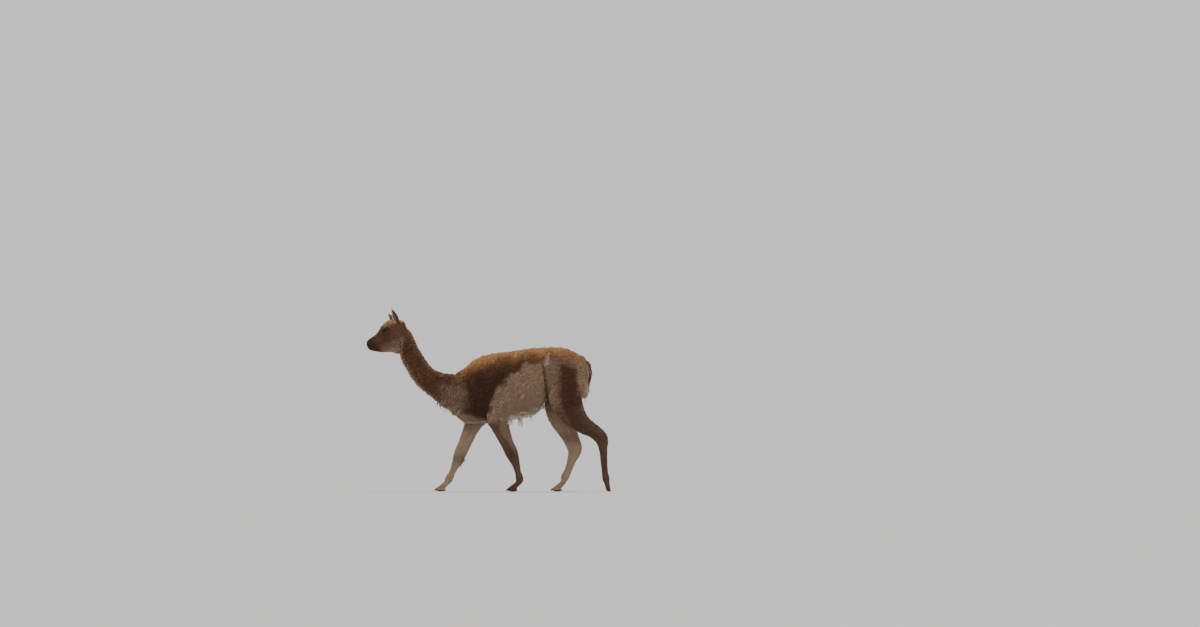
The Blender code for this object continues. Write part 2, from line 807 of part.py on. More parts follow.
def main():
    clear_scene()

    # the whole animal above its feet, as one surface
    lofts = [
        add_tube("trunk", trunk_rings(70, 48)),
        add_tube("neck", sweep(NECK, 44, 32)),
        add_tube("foreleg", sweep(FORELEG_LEFT, 44, 28)),
        add_tube("foreleg", sweep(FORELEG_RIGHT, 44, 28)),
        add_tube("hindleg", sweep(HINDLEG_LEFT, 48, 28)),
        add_tube("hindleg", sweep(HINDLEG_RIGHT, 48, 28)),
    ]
    rings = head_rings(56, 48)
    face = add_tube("face", place_on_head(rings.reshape(-1, 3)).reshape(rings.shape))
    outward_faces(face)
    flesh = melted("flesh", [*lofts, face], VOXEL, rounds=30, weight=flow)

    # head, with its lids, sockets, mouth and nostrils
    point, away = HEAD_CUT
    head = copy_of(flesh, "head")
    trim(head, point + away * 6 * MM, away)
    thin_out(head, HEAD_TRIANGLES)
    for side, name in ((1, "eye_left"), (-1, "eye_right")):
        centre = place_on_head(eye_centre(side))
        ball(name, centre, np.full(3, EYE_RADIUS))
        use_once(head, add_lid_bulge(side), "UNION")
        use_once(head, lid_opening(side), "DIFFERENCE")
        use_once(head, ball("socket", centre, np.full(3, EYE_RADIUS + GAP)), "DIFFERENCE")
        use_once(head, nostril(side), "DIFFERENCE")
    use_once(head, mouth_groove(), "DIFFERENCE")
    trim(head, point - away * GAP / 2, away)
    keep_largest(head)
    for name, side in (("left", 1), ("right", -1)):
        ear = add_ear(f"ear_{name}", side, *EAR_HOLD[name])
        seat_on(ear, head)

    # neck, and the trunk with its legs
    trim(flesh, point - away * 6 * MM, -away)
    thin_out(flesh, BODY_TRIANGLES)
    neck = copy_of(flesh, "neck")
    trim(neck, point + away * GAP / 2, -away)
    base, back = NECK_CUT
    trim(neck, base - back * GAP / 2, back)
    keep_largest(neck)
    torso = flesh
    torso.name = "torso"
    trim(torso, base + back * GAP / 2, -back)

    # legs, cut off level, each with its foot
    for kind, top, low_y, high_y in (
        ("hindleg", HINDLEG_TOP, FLANK_Y, 1.0),
        ("foreleg", FORELEG_TOP, -0.4, 0.30),
    ):
        for name, side in (("left", 1), ("right", -1)):
            leg = copy_of(torso, f"{kind}_{name}")
            low_x, high_x = sorted((side * GAP / 2, side * 0.4))
            zone = box(
                "zone",
                (low_x, low_y + GAP / 2, FOOT_TOP + GAP / 2),
                (high_x, high_y, top - GAP / 2),
            )
            use_once(leg, zone, "INTERSECT")
            keep_largest(leg)
        zone = box("zone", (-0.4, low_y, -0.1), (0.4, high_y, top + GAP / 2))
        use_once(torso, zone, "DIFFERENCE")
    keep_largest(torso)
    for name in FEET:
        foot = add_foot(name)
        add_nails(name, foot)

    # tail, and the long hair
    rng = np.random.default_rng(7)
    tail = melted("tail", [add_tube("tail", sweep(TAIL, 30, 20))], 3 * MM, TAIL_TRIANGLES)
    add_tail_locks(tail, rng)
    seat_on(tail, torso)
    add_belly_locks(torso, rng)

    finish()


main()
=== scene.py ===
"""Looks of a walking vicuna: one skin with its lids, lips and nostrils, under a coat of fine tufts.

The animal faces -Y, its left side is +X and +Z is up. Its own places are metres from the point
between its feet, and on its head millimetres from the head's pivot. SHIFT carries them into the frame.
"""

import bmesh
import bpy
import numpy as np
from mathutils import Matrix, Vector


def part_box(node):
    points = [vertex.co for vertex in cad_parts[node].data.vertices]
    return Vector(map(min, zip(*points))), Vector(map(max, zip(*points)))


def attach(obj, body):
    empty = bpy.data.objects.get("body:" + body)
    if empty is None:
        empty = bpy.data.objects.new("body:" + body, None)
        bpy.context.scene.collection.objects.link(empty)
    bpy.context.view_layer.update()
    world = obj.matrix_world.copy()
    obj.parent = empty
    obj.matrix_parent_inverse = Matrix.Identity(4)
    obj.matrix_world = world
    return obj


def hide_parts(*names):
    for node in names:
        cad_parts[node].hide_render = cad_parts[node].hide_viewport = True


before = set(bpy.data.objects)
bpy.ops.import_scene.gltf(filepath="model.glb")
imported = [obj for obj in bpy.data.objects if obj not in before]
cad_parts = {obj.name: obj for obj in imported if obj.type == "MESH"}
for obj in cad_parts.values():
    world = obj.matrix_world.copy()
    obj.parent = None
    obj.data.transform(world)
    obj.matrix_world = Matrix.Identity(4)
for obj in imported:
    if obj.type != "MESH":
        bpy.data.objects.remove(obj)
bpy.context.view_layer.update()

MM = 0.001

# How the head is held, and the solid head's own outline: ahead, top, bottom, half width
HEAD_PITCH = np.radians(14)
HEAD_YAW = np.radians(8.5)
HEAD_ROLL = np.radians(4.5)
HEAD_PIVOT = np.array([0, -0.536, 0.954])
HEAD = [
    (-46, 40, 10, 12),
    (-40, 62, -22, 32),
    (-22, 80, -48, 43),
    (0, 92, -88, 47),
    (25, 98, -110, 50),
    (50, 98, -110, 53),
    (76, 88, -96, 54),
    (100, 72, -89, 46),
    (120, 52, -85, 38),
    (140, 36, -79, 33),
    (160, 27, -71, 31),
    (178, 20, -63, 30),
    (192, 14, -56, 28),
    (202, 8, -49, 24),
    (208, 0, -42, 17),
    (211, -8, -34, 9),
    (212, -17, -25, 2),
]

# Swellings and hollows of one side of the head: x, ahead, up, reach and height
HEAD_FORMS = [
    (48, 80, 38, 24, 5.0),
    (50, 86, 32, 36, 4.5),
    (46, 74, 60, 17, 3.0),
    (38, 112, 14, 17, -3.5),
    (46, 40, -45, 34, 4.0),
    (28, 182, -4, 13, 3.0),
    (24, 186, -48, 12, 2.0),
    (40, 128, -36, 17, -3.0),
    (44, 14, 20, 20, -2.5),
]

# Line of the closed mouth: ahead, up. Line of a nostril: x, y, z on the head, and the way into it
MOUTH = [(216, -21), (206, -22), (196, -26), (180, -32), (162, -38), (148, -44), (141, -49)]
NOSTRIL = [(7, -212, -9), (12, -208, -3), (18, -201, 2), (24, -192, 3)]
NOSTRIL_WAY = (0.45, -0.88, 0.15)

# Eye: ball radius, its place on the head and its seat; half length of the opening, its height above and
# below; where it looks, the slant of its corners and how far round it the lids lie, in radians
EYE_RADIUS = 19.0
EYE_PLACE = np.array([35.0, -80.0, 36.0])
EYE_SEAT = EYE_PLACE - [1.2, 0, 0]
EYE_OPENING = (15.6, 10.8, 9.4)
EYE_WAY = (0.93, -0.30, 0.14)
EYE_SLANT = 0.3
LID_REACH = 1.42

# Ears: length, base, lean forwards and to the side; along the ear its radius, closing angle, thickness
EAR_LENGTH = 100
EAR_BASE = (30, 2, 62)
EAR_HOLD = {"left": (14, 14), "right": (27, 42)}
EAR = [
    (0.0, 12, 165, 10.0),
    (0.1, 15, 155, 6.0),
    (0.24, 17, 138, 3.6),
    (0.42, 18, 112, 2.4),
    (0.6, 15.5, 95, 2.0),
    (0.76, 11.5, 80, 1.8),
    (0.9, 6.0, 68, 1.6),
    (0.97, 2.8, 60, 1.2),
    (1.0, 0.6, 55, 0.4),
]

# Planes between head and neck and between neck and trunk: a point and the way back from it
HEAD_PLANE = (np.array([0, -0.521, 0.909]), np.array([0, 0.925, -0.377]))
NECK_PLANE = (np.array([0, -0.233, 0.603]), np.array([0, 0.92, -0.386]))

# Middle line of each leg: y and z from its top to its toes
LEGS = {
    "foreleg_left": [
        (0.008, 0.572), (0.046, 0.506), (0.079, 0.373), (0.144, 0.224),
        (0.179, 0.118), (0.190, 0.067), (0.150, 0.0),
    ],
    "foreleg_right": [
        (-0.056, 0.566), (-0.079, 0.433), (-0.142, 0.294), (-0.198, 0.164),
        (-0.219, 0.116), (-0.244, 0.064), (-0.285, 0.0),
    ],
    "hindleg_left": [
        (0.47, 0.561), (0.506, 0.476), (0.576, 0.403), (0.681, 0.324),
        (0.699, 0.182), (0.712, 0.070), (0.728, 0.0),
    ],
    "hindleg_right": [
        (0.424, 0.554), (0.436, 0.470), (0.500, 0.324), (0.524, 0.2545),
        (0.506, 0.191), (0.4606, 0.076), (0.42, 0.0),
    ],
}

# Levels where the legs begin, and y where the forelegs end and where the thigh begins
FORELEG_TOP = 0.41
HINDLEG_TOP = 0.50
FORELEG_END = 0.3
FLANK_Y = 0.331

# Level of the belly from chest to groin, and the lowest level of the tail's flesh: y, z
BELLY_LINE = [(0.06, 0.425), (0.134, 0.436), (0.23, 0.452), (0.29, 0.480), (0.33, 0.52)]
TAIL_TIP = 0.606

# Hair length in mm by distance ahead on the head, and by height on the neck and the legs
HEAD_HAIR = [(-46, 15), (0, 12.5), (60, 10), (100, 7.5), (130, 5), (160, 3.4), (208, 2.0)]
NECK_HAIR = [(0.6, 29), (0.75, 21), (0.9, 16), (0.97, 13)]
LEG_HAIR = [(0, 4.5), (0.05, 5.5), (0.15, 7), (0.3, 9), (0.42, 13), (0.5, 20)]

# How much the neck's hair runs back for each step down, by height
NECK_LIE = [(0.62, 0.9), (0.7, 0.7), (0.8, 0.48), (0.95, 0.3)]

# Long hairs in some clumps about a place: its middle, reach, share of the clumps, extra length, way
WISPS = [
    ((0.0, 0.13, 0.43), (0.06, 0.03, 0.05), 0.4, (10, 20), (0.0, 0.16, -0.99)),
    ((0.0, 0.20, 0.44), (0.05, 0.03, 0.05), 0.45, (22, 44), (0.0, 0.16, -0.99)),
    ((0.0, 0.255, 0.46), (0.05, 0.02, 0.05), 0.35, (8, 20), (0.0, 0.2, -0.98)),
    ((0.0, -0.28, 0.52), (0.05, 0.04, 0.06), 0.12, (4, 8), (0.0, -0.05, -1.0)),
    ((0.07, 0.16, 0.29), (0.03, 0.02, 0.035), 0.4, (6, 13), (0.0, 0.5, -0.87)),
    ((-0.07, -0.165, 0.19), (0.03, 0.02, 0.035), 0.4, (5, 11), (0.0, 0.4, -0.92)),
    ((0.0, 0.60, 0.615), (0.04, 0.05, 0.03), 0.9, (6, 26), (0.0, 0.1, -1.0)),
]

# Top line of the back, the ragged line between the brown back and the pale flank, the crease between
# flank and thigh, a pale fleck on the hip and a pale streak before it: y, z
TOP_LINE = [
    (-0.25, 0.69), (-0.16, 0.74), (-0.04, 0.82), (0.13, 0.85), (0.35, 0.872), (0.51, 0.849), (0.6, 0.76),
]
FLANK_LINE = [
    (-0.03, 0.40), (-0.012, 0.53), (0.008, 0.585), (0.091, 0.676), (0.153, 0.726), (0.225, 0.768),
    (0.34, 0.795),
]
CREASE = [(0.322, 0.775), (0.331, 0.70), (0.338, 0.62), (0.348, 0.56)]
HIP_FLECK = [(0.357, 0.86), (0.348, 0.82), (0.337, 0.787)]
FLANK_STREAK = [(0.213, 0.82), (0.212, 0.775)]

# Front and back border of the dark band down the haunch, and its front border on the leg: z, y
BAND_FRONT = [(0.436, 0.494), (0.49, 0.45), (0.56, 0.43), (0.80, 0.425)]
BAND_BACK = [(0.488, 0.567), (0.59, 0.546), (0.70, 0.528), (0.80, 0.522)]
LEG_BAND = [(0.36, 0.53), (0.436, 0.494), (0.49, 0.45), (0.56, 0.43)]

# Fineness: rings and points round a ring, triangles, and grid of skin and nails in metres
FACE_RINGS = 270
FACE_SIDES = 260
FACE_TRIANGLES = 92000
SKIN_TRIANGLES = 88000
SKIN_VOXEL = 0.003
NAIL_VOXEL = 0.0007
EAR_ROWS = 64
EAR_COLUMNS = 40
EYE_RINGS = 72
EYE_SIDES = 96

# How many times over the tufts cover the skin of trunk, legs, head and muzzle
TRUNK_COVER = 2.6
LEG_COVER = 1.45
HEAD_COVER = 2.0
MUZZLE_COVER = 1.2

# Clumps of the coat in metres, finer where the hair is shorter than this in mm
CLUMP = 0.012
FINE_CLUMP = 0.005
SHORT_HAIR = 9

# The most tufts in one piece; tufts of an ear and lashes of an eye, with their widths in mm
PIECE_TUFTS = 48000
EAR_TUFTS = 12500
EAR_TUFT_WIDTH = 0.75
LASHES = 80
LASH_WIDTH = 0.36

# Suns: the way to each, strength, spread in degrees, colour
SUNS = {
    "key": ((0.8, -0.38, 0.75), 1.2, 25, "FFF7EE"),
    "rim": ((-0.75, 0.1, 0.8), 3.4, 8, "FFF1DE"),
}
SURROUND = "F1F2F4"
SURROUND_STRENGTH = 0.92
FLOOR_REACH = 300.0
LENS = 200
CAMERA_PLACE = (40.4, 0.0, 0.221)
CAMERA_TARGET = (0, 0.676, 1.079)


def linear(code):
    """Linear red, green and blue of an sRGB hex colour."""
    value = np.array([int(code[i : i + 2], 16) for i in (0, 2, 4)]) / 255
    return np.where(value <= 0.04045, value / 12.92, ((value + 0.055) / 1.055) ** 2.4)


# Colours of coat and bare skin, as they look in even light, save two: the gold is partly the fleece's tone
# and partly a painted highlight, and the nostrils' near black is painted shade
GOLD_HIGHLIGHT = linear("BA8B5B")
CINNAMON = linear("94633D")
BROWN = linear("67432D")
DARK = linear("42291A")
FLANK = linear("A68A70")
CHEST = linear("907661")
CREAM = linear("CFB697")
WHITE = linear("ECE3D3")
LEG = linear("967C66")
BARE = linear("2B211E")
NOSTRIL_SHADE = linear("0A0706")
EAR_SKIN = linear("8C6A55")
LASH = linear("0E0A08")
PUPIL = linear("040303")
IRIS = linear("24160E")
IRIS_RIM = linear("0B0706")
EYE_WHITE = linear("1C1412")


def ramp(value, low, high):
    """0 below low, 1 above high, and the smooth step 3 t^2 - 2 t^3 between."""
    t = np.clip((value - low) / (high - low), 0, 1)
    return t * t * (3 - 2 * t)


def hump(value, middle, reach):
    """1 at the middle, falling away as exp(-(distance / reach)^2)."""
    return np.exp(-(((value - middle) / reach) ** 2))


def blend(a, b, share):
    """a at share 0 and b at share 1, for plain numbers."""
    return a + (b - a) * share


def mix(a, b, share):
    """a at share 0 and b at share 1, for colours and ways."""
    return a + (b - a) * np.asarray(share)[..., None]


def layered(colour, *layers):
    """A colour with layers over it, each a colour and its share from 0 to 1."""
    for over, share in layers:
        colour = mix(colour, over, share)
    return colour


def unit(v):
    """Ways made 1 long."""
    return v / np.maximum(np.linalg.norm(v, axis=-1, keepdims=True), 1e-12)


def flat_to(way, normal):
    """Ways laid flat on a surface by taking away their share along its normal."""
    return way - normal * (way * normal).sum(1, keepdims=True)


def on_line(x, line):
    """Value at each x of a line of (x, value) points."""
    at, value = np.array(line, float).T
    return np.interp(x, at, value)


def to_line(points, line):
    """Distance of each point from a line of straight stretches."""
    best = np.full(points.shape[:-1], np.inf)
    for a, b in zip(line[:-1], line[1:]):
        a = np.array(a, float)
        way = np.array(b, float) - a
        t = np.clip(((points - a) @ way) / (way @ way), 0, 1)
        best = np.minimum(best, np.linalg.norm(points - a - t[..., None] * way, axis=-1))
    return best


def scatter(cells, seed):
    """A number from 0 to 1 for each whole-numbered cell, the same each run."""
    x, y, z = np.moveaxis(cells.astype(np.int64), -1, 0)
    key = x * 73856093 ^ y * 19349663 ^ z * 83492791 ^ (seed + 1) * 668265263
    key = (key ^ (key >> 13)) * 1274126177
    key = (key ^ (key >> 15)) * 2246822519
    return ((key ^ (key >> 16)) & 0xFFFFFF) / 0x1000000


def noise(points, size, seed=0):
    """Smooth noise from -1 to 1: corner values of a grid of this size, blended by smooth steps."""
    q = points / size
    base = np.floor(q)
    f = q - base
    f = f * f * (3 - 2 * f)
    total = 0
    for corner in np.ndindex(2, 2, 2):
        share = np.prod(np.where(corner, f, 1 - f), axis=-1)
        total = total + share * scatter(base + corner, seed)
    return 2 * total - 1


def clump_of(points, size, seed):
    """The nearest of one jittered centre in each grid cell, and a number that goes with it."""
    cell = np.floor(points / size)
    best = np.full(len(points), np.inf)
    centre = np.zeros_like(points)
    key = np.zeros(len(points))
    for step in np.ndindex(3, 3, 3):
        near = cell + np.array(step) - 1
        place = (near + np.stack([scatter(near, seed + k) for k in range(3)], -1)) * size
        away = ((points - place) ** 2).sum(-1)
        closer = away < best
        best[closer] = away[closer]
        centre[closer] = place[closer]
        key[closer] = scatter(near[closer], seed + 7)
    return centre, key


def turn(axis, angle):
    """The matrix of a turn about axis 0, 1 or 2."""
    i = (axis + 1) % 3
    j = (axis + 2) % 3
    m = np.eye(3)
    m[i, i] = m[j, j] = np.cos(angle)
    m[j, i] = np.sin(angle)
    m[i, j] = -np.sin(angle)
    return m


HEAD_TURN = turn(2, HEAD_YAW) @ turn(0, HEAD_PITCH) @ turn(1, -HEAD_ROLL)
EYE_CENTRE = sum(np.array(corner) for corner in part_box("eye_left")) / 2
SHIFT = EYE_CENTRE - (EYE_PLACE * MM) @ HEAD_TURN.T - HEAD_PIVOT


def place_on_head(points):
    """From the head's own millimetres to the frame."""
    return SHIFT + HEAD_PIVOT + (points * MM) @ HEAD_TURN.T


def on_head(points):
    """From the animal's metres to the head's own millimetres."""
    return (points - HEAD_PIVOT) @ HEAD_TURN / MM


def one_side(h):
    """Points of the head with those of its right side mirrored to its left."""
    return np.concatenate([np.abs(h[..., :1]), h[..., 1:]], -1)


def along(stations, count, places):
    """Rows on a smooth cubic curve through the stations, evenly spaced by the first places columns.

    Between two stations a row is (2 f^3 - 3 f^2 + 1) a + (3 f^2 - 2 f^3) b, with f from 0 to 1, and
    (f^3 - 2 f^2 + f) and (f^3 - f^2) of the slopes at a and b.
    """
    rows = np.array(stations, float)
    steps = np.linalg.norm(np.diff(rows[:, :places], axis=0), axis=1)
    t = np.concatenate([[0], np.cumsum(steps)])
    slope = np.gradient(rows, t, axis=0)
    at = np.linspace(0, t[-1], count)
    k = np.clip(np.searchsorted(t, at, side="right") - 1, 0, len(t) - 2)
    h = (t[k + 1] - t[k])[:, None]
    f = (at - t[k])[:, None] / h
    start = (2 * f**3 - 3 * f**2 + 1) * rows[k] + (f**3 - 2 * f**2 + f) * h * slope[k]
    end = (3 * f**2 - 2 * f**3) * rows[k + 1] + (f**3 - f**2) * h * slope[k + 1]
    return start + end


# Meshes
def add_mesh(name, points, faces):
    """A mesh object from point and face arrays, all faces with the same number of corners."""
    mesh = bpy.data.meshes.new(name)
    faces = np.asarray(faces, np.int32)
    count, corners = faces.shape
    mesh.vertices.add(len(points))
    mesh.vertices.foreach_set("co", np.asarray(points, np.float32).ravel())
    mesh.loops.add(count * corners)
    mesh.loops.foreach_set("vertex_index", faces.ravel())
    mesh.polygons.add(count)
    mesh.polygons.foreach_set("loop_start", np.arange(count, dtype=np.int32) * corners)
    mesh.update(calc_edges=True)
    mesh.shade_smooth()
    obj = bpy.data.objects.new(name, mesh)
    bpy.context.scene.collection.objects.link(obj)
    return obj


def read(data, key, width=3, kind=np.float32):
    """One property of all points, edges, corners or faces of a mesh, as rows of an array."""
    values = np.empty(len(data) * width, kind)
    data.foreach_get(key, values)
    return values.reshape(-1, width)


def points_of(obj):
    """Points of a mesh in the frame."""
    return read(obj.data.vertices, "co").astype(float)


def own_points(obj):
    """Points of a mesh in the animal's own metres."""
    return points_of(obj) - SHIFT


def normals_of(obj):
    """The way out of a mesh at each of its points."""
    return read(obj.data.vertex_normals, "vector").astype(float)


def move_points(obj, points):
    """Puts the points of a mesh in new places."""
    obj.data.vertices.foreach_set("co", np.asarray(points, np.float32).ravel())
    obj.data.update()


def bake_modifier(obj, kind, **settings):
    """Adds one modifier, keeps the mesh that it makes and removes it."""
    modifier = obj.modifiers.new(kind, kind)
    for key, value in settings.items():
        setattr(modifier, key, value)
    graph = bpy.context.evaluated_depsgraph_get()
    made = bpy.data.meshes.new_from_object(obj.evaluated_get(graph))
    obj.modifiers.clear()
    obj.data = made


def give_material(obj, material):
    """Smooth shading and one material for a finished mesh."""
    obj.data.shade_smooth()
    obj.data.materials.clear()
    obj.data.materials.append(material)


def grid_faces(rows, columns):
    """Quads of a grid whose columns close into a ring."""
    i, j = np.meshgrid(np.arange(rows - 1), np.arange(columns), indexing="ij")
    i = i.ravel()
    j = j.ravel()
    k = (j + 1) % columns
    return np.stack([i * columns + j, (i + 1) * columns + j, (i + 1) * columns + k, i * columns + k], 1)


def add_tube(name, rings, shut=True):
    """A tube through rings, an array of (rings, sides, 3), its ends drawn together to a point each."""
    rows, sides, _ = rings.shape
    if shut:
        ends = [np.repeat(rings[k].mean(0)[None, None], sides, 1) for k in (0, -1)]
        rings = np.concatenate([ends[0], rings, ends[1]])
        rows += 2
    obj = add_mesh(name, rings.reshape(-1, 3), grid_faces(rows, sides))
    clean(obj)
    return obj


def clean(obj):
    """Merges doubled points and turns the faces outwards."""
    shape = bmesh.new()
    shape.from_mesh(obj.data)
    bmesh.ops.remove_doubles(shape, verts=shape.verts[:], dist=0.00001)
    bmesh.ops.dissolve_degenerate(shape, dist=0.000005, edges=shape.edges[:])
    bmesh.ops.recalc_face_normals(shape, faces=shape.faces[:])
    shape.to_mesh(obj.data)
    shape.free()
    obj.data.shade_smooth()


def relax(obj, rounds, weight):
    """Moves each point w of the way to the mean of its neighbours and 1.02 w back, w = weight."""
    points = points_of(obj)
    weight = np.broadcast_to(weight, len(points))[:, None]
    edges = read(obj.data.edges, "vertices", 2, np.int32)
    ends = edges.T.ravel()
    others = edges[:, ::-1].T.ravel()
    degree = np.maximum(np.bincount(ends, minlength=len(points)), 1)[:, None]
    for _ in range(rounds):
        for share in (weight, -1.02 * weight):
            total = np.stack([np.bincount(ends, points[others, k], len(points)) for k in range(3)], 1)
            points = points + share * (total / degree - points)
    move_points(obj, points)


def paint(obj, colours):
    """Keeps a colour for each point of a mesh."""
    layer = obj.data.color_attributes.new("coat", "FLOAT_COLOR", "POINT")
    full = np.concatenate([np.clip(colours, 0, 1), np.ones((len(colours), 1))], 1)
    layer.data.foreach_set("color", full.astype(np.float32).ravel())


def mark(obj, name, values, kind="FLOAT", key="value"):
    """Keeps a number, or another kind of value, for each point of a mesh."""
    layer = obj.data.attributes.new(name, kind, "POINT")
    layer.data.foreach_set(key, np.asarray(values, np.float32).ravel())


def set_map(obj, uv):
    """Keeps the place on the map for baking of each corner of a mesh's faces."""
    layer = obj.data.uv_layers.new(name="OFBake")
    layer.data.foreach_set("uv", uv.astype(np.float32).ravel())


# Parts of the animal
def side_of(p, plane):
    """How far each point lies behind a plane, in metres."""
    point, back = plane
    return (p - point) @ back


def on_side(p, name):
    """Whether each point lies on the side of the leg with this name."""
    return p[:, 0] > 0 if name.endswith("left") else p[:, 0] <= 0


def leg_line(p, name):
    """y of a leg's middle line at each point's height."""
    return on_line(p[:, 2], np.array(LEGS[name])[::-1, ::-1])


def leg_lie(p, name):
    """Down along a leg's middle line at each point's height."""
    line = np.array(LEGS[name])
    height = line[::-1, 1]
    y, z = [np.interp(p[:, 2], height, way[::-1]) for way in np.gradient(line, axis=0).T]
    return unit(np.stack([0 * y, y, z], 1))


def parts(p):
    """How much each point belongs to the head, the neck, each leg and the tail, from 0 to 1."""
    x, y, z = p.T
    shares = {"head": ramp(side_of(p, HEAD_PLANE), 0.024, -0.024)}
    shares["neck"] = ramp(side_of(p, NECK_PLANE), 0.05, -0.05)
    for name in LEGS:
        if name.startswith("fore"):
            there = ramp(z, FORELEG_TOP + 0.05, FORELEG_TOP - 0.02) * (y < FORELEG_END)
        else:
            there = ramp(z, HINDLEG_TOP + 0.06, HINDLEG_TOP - 0.03) * (y > FLANK_Y - 0.02)
        shares[name] = on_side(p, name) * there
    tail = ramp(0.034 - np.abs(x), 0, 0.006) * ramp(y, 0.57, 0.59) * ramp(z, 0.585, 0.60)
    shares["tail"] = tail * ramp(y + (z - 0.8) * 0.6, 0.50, 0.53)
    return shares


def eye_axes():
    """Where the left eye looks, the line between its corners and the way up across it."""
    out = unit(np.array(EYE_WAY))
    corner = np.array([0, -np.cos(EYE_SLANT), -np.sin(EYE_SLANT)])
    corner = unit(corner - out * (out @ corner))
    up = np.cross(out, corner)
    return out, corner, up * np.sign(up[2])


def lid_place(h):
    """How far each point of the head is from the middle of the nearer eye, with 1 on the lids' edge.

    The opening lies between two parabolas that meet at its corners, so e solves
    e^2 - e b / height - (a / long)^2 = 0, where a runs towards the nose and b up.
    """
    out, corner, up = eye_axes()
    q = one_side(h) - EYE_SEAT
    long, above, below = EYE_OPENING
    a = (q @ corner) / long
    b = q @ up
    b = np.abs(b) / np.where(b > 0, above, below)
    edge = (b + np.sqrt(b * b + 4 * a * a)) / 2
    return np.where(q @ out > 0, edge, 9.0), q


def mouth_place(h):
    """Distance of each point of the head from the line of the mouth, in mm, seen from the side."""
    return to_line(np.stack([-h[..., 1], h[..., 2]], -1), MOUTH)


def nostril_place(h):
    """Distance of each point of the head from the nearer nostril's line, in mm, seen along its depth."""
    deep = unit(np.array(NOSTRIL_WAY))
    flat = np.eye(3) - np.outer(deep, deep)
    near = to_line(one_side(h) @ flat, np.array(NOSTRIL) @ flat)
    return near + 9 * ramp(-h[..., 1], 188, 180)


def bare_share(p, n):
    """1 where the skin is bare: nose leather, lips, rims of the lids and soles."""
    h = on_head(p)
    edge, q = lid_place(h)
    _, corner, _ = eye_axes()
    duct = np.linalg.norm(q - EYE_RADIUS * 0.94 * corner - [13, 0, 0], axis=1)
    lids = np.maximum(ramp(edge, 1.2, 1.12), ramp(duct, 4.2, 3.0))
    nose = ramp(nostril_place(h), 4.4, 3.4)
    front = ramp(np.abs(h[:, 0]), 2.4, 1.4) * ramp(-h[:, 1], 201, 205) * ramp(h[:, 2], -27, -24)
    lips = ramp(mouth_place(h) + 0.4 * noise(h, 4, 3), 2.0, 1.2)
    sole = ramp(p[:, 2] + 0.004 * n[:, 2], 0.011, 0.007) * ramp(-n[:, 2], -0.3, 0.1)
    return np.maximum(parts(p)["head"] * np.maximum.reduce([lids, nose, front, lips]), sole)


# How long the hair is and how it lies
def hair_length_on_head(h):
    """Hair length in mm on the head: shorter towards the nose and the eye, longest on the forehead."""
    s = -h[:, 1]
    length = on_line(s, HEAD_HAIR)
    length = length + 7 * np.exp(-(((s - 42) / 34) ** 2) - ((h[:, 2] - 96) / 26) ** 2)
    away = np.linalg.norm(one_side(h) - EYE_SEAT, axis=1)
    by_eye = 2.2 + 6.8 * ramp(away, EYE_RADIUS + 2, EYE_RADIUS + 18) + 20 * ramp(away, 35, 60)
    return np.minimum(length, by_eye)


def hair_plan(p, n):
    """Length in mm, lift and lie of the hair at points with normals n, in the animal's metres.

    The tips stand lift times length off the skin, and the lie runs from nose to tail and down.
    """
    z = p[:, 2]
    shares = parts(p)
    ones = np.ones(len(p))
    none = 0 * ones
    up = np.clip(n[:, 2], 0, 1)
    haunch = ramp(p[:, 1], 0.33, 0.42)
    length = 30 - 5 * up - 8 * haunch + 4 * ramp(-n[:, 2], 0.2, 0.8)
    lift = 0.42 * ones
    lie = np.stack([none, 0.75 - 0.45 * haunch, -0.75 * ones], 1)
    lie[:, 2] += 0.6 * up
    lie[:, 1] += 0.5 * np.clip(-n[:, 2], 0, 1)

    h = on_head(p)
    back = np.stack([0.15 * np.sign(h[:, 0]), ones, -0.35 * ramp(h[:, 2], 60, -20)], 1) @ HEAD_TURN.T
    down = np.stack([none, on_line(z, NECK_LIE), -ones], 1)
    leg_lift = 0.26 + 0.1 * ramp(z, 0.3, 0.5)
    plans = {"neck": (on_line(z, NECK_HAIR), 0.4, down), "head": (hair_length_on_head(h), 0.32, back)}
    for name in LEGS:
        plans[name] = (on_line(z, LEG_HAIR), leg_lift, leg_lie(p, name))
    for name, (own_length, own_lift, own_lie) in plans.items():
        length = blend(length, own_length, shares[name])
        lift = blend(lift, own_lift, shares[name])
        lie = mix(lie, own_lie, shares[name])
    length = blend(length, 30, shares["tail"])
    lie = mix(lie, np.stack([none, 0.1 * ones, -ones], 1), shares["tail"])
    swirl = np.stack([noise(p, 0.07, 11 + k) for k in range(3)], 1)
    return length, lift, unit(flat_to(unit(lie) + 0.22 * swirl, n))


def coat_depth(p, n):
    """How far in mm the skin lies under the tips of its hair.

    The fleece lies in soft swells, and parts in a deep crease between flank and thigh.
    """
    length, lift, _ = hair_plan(p, n)
    head = parts(p)["head"]
    depth = length * lift + 5 * head * ramp(-on_head(p)[:, 1], 8, 36)
    trunk = ramp(p[:, 2], 0.42, 0.5) * (1 - head)
    depth = depth - trunk * (1.6 * noise(p, 0.045, 14) + 0.8 * noise(p, 0.02, 15))
    return depth + 8 * hump(to_line(p[:, 1:], CREASE), 0, 0.009) * ramp(np.abs(p[:, 0]), 0.05, 0.09)


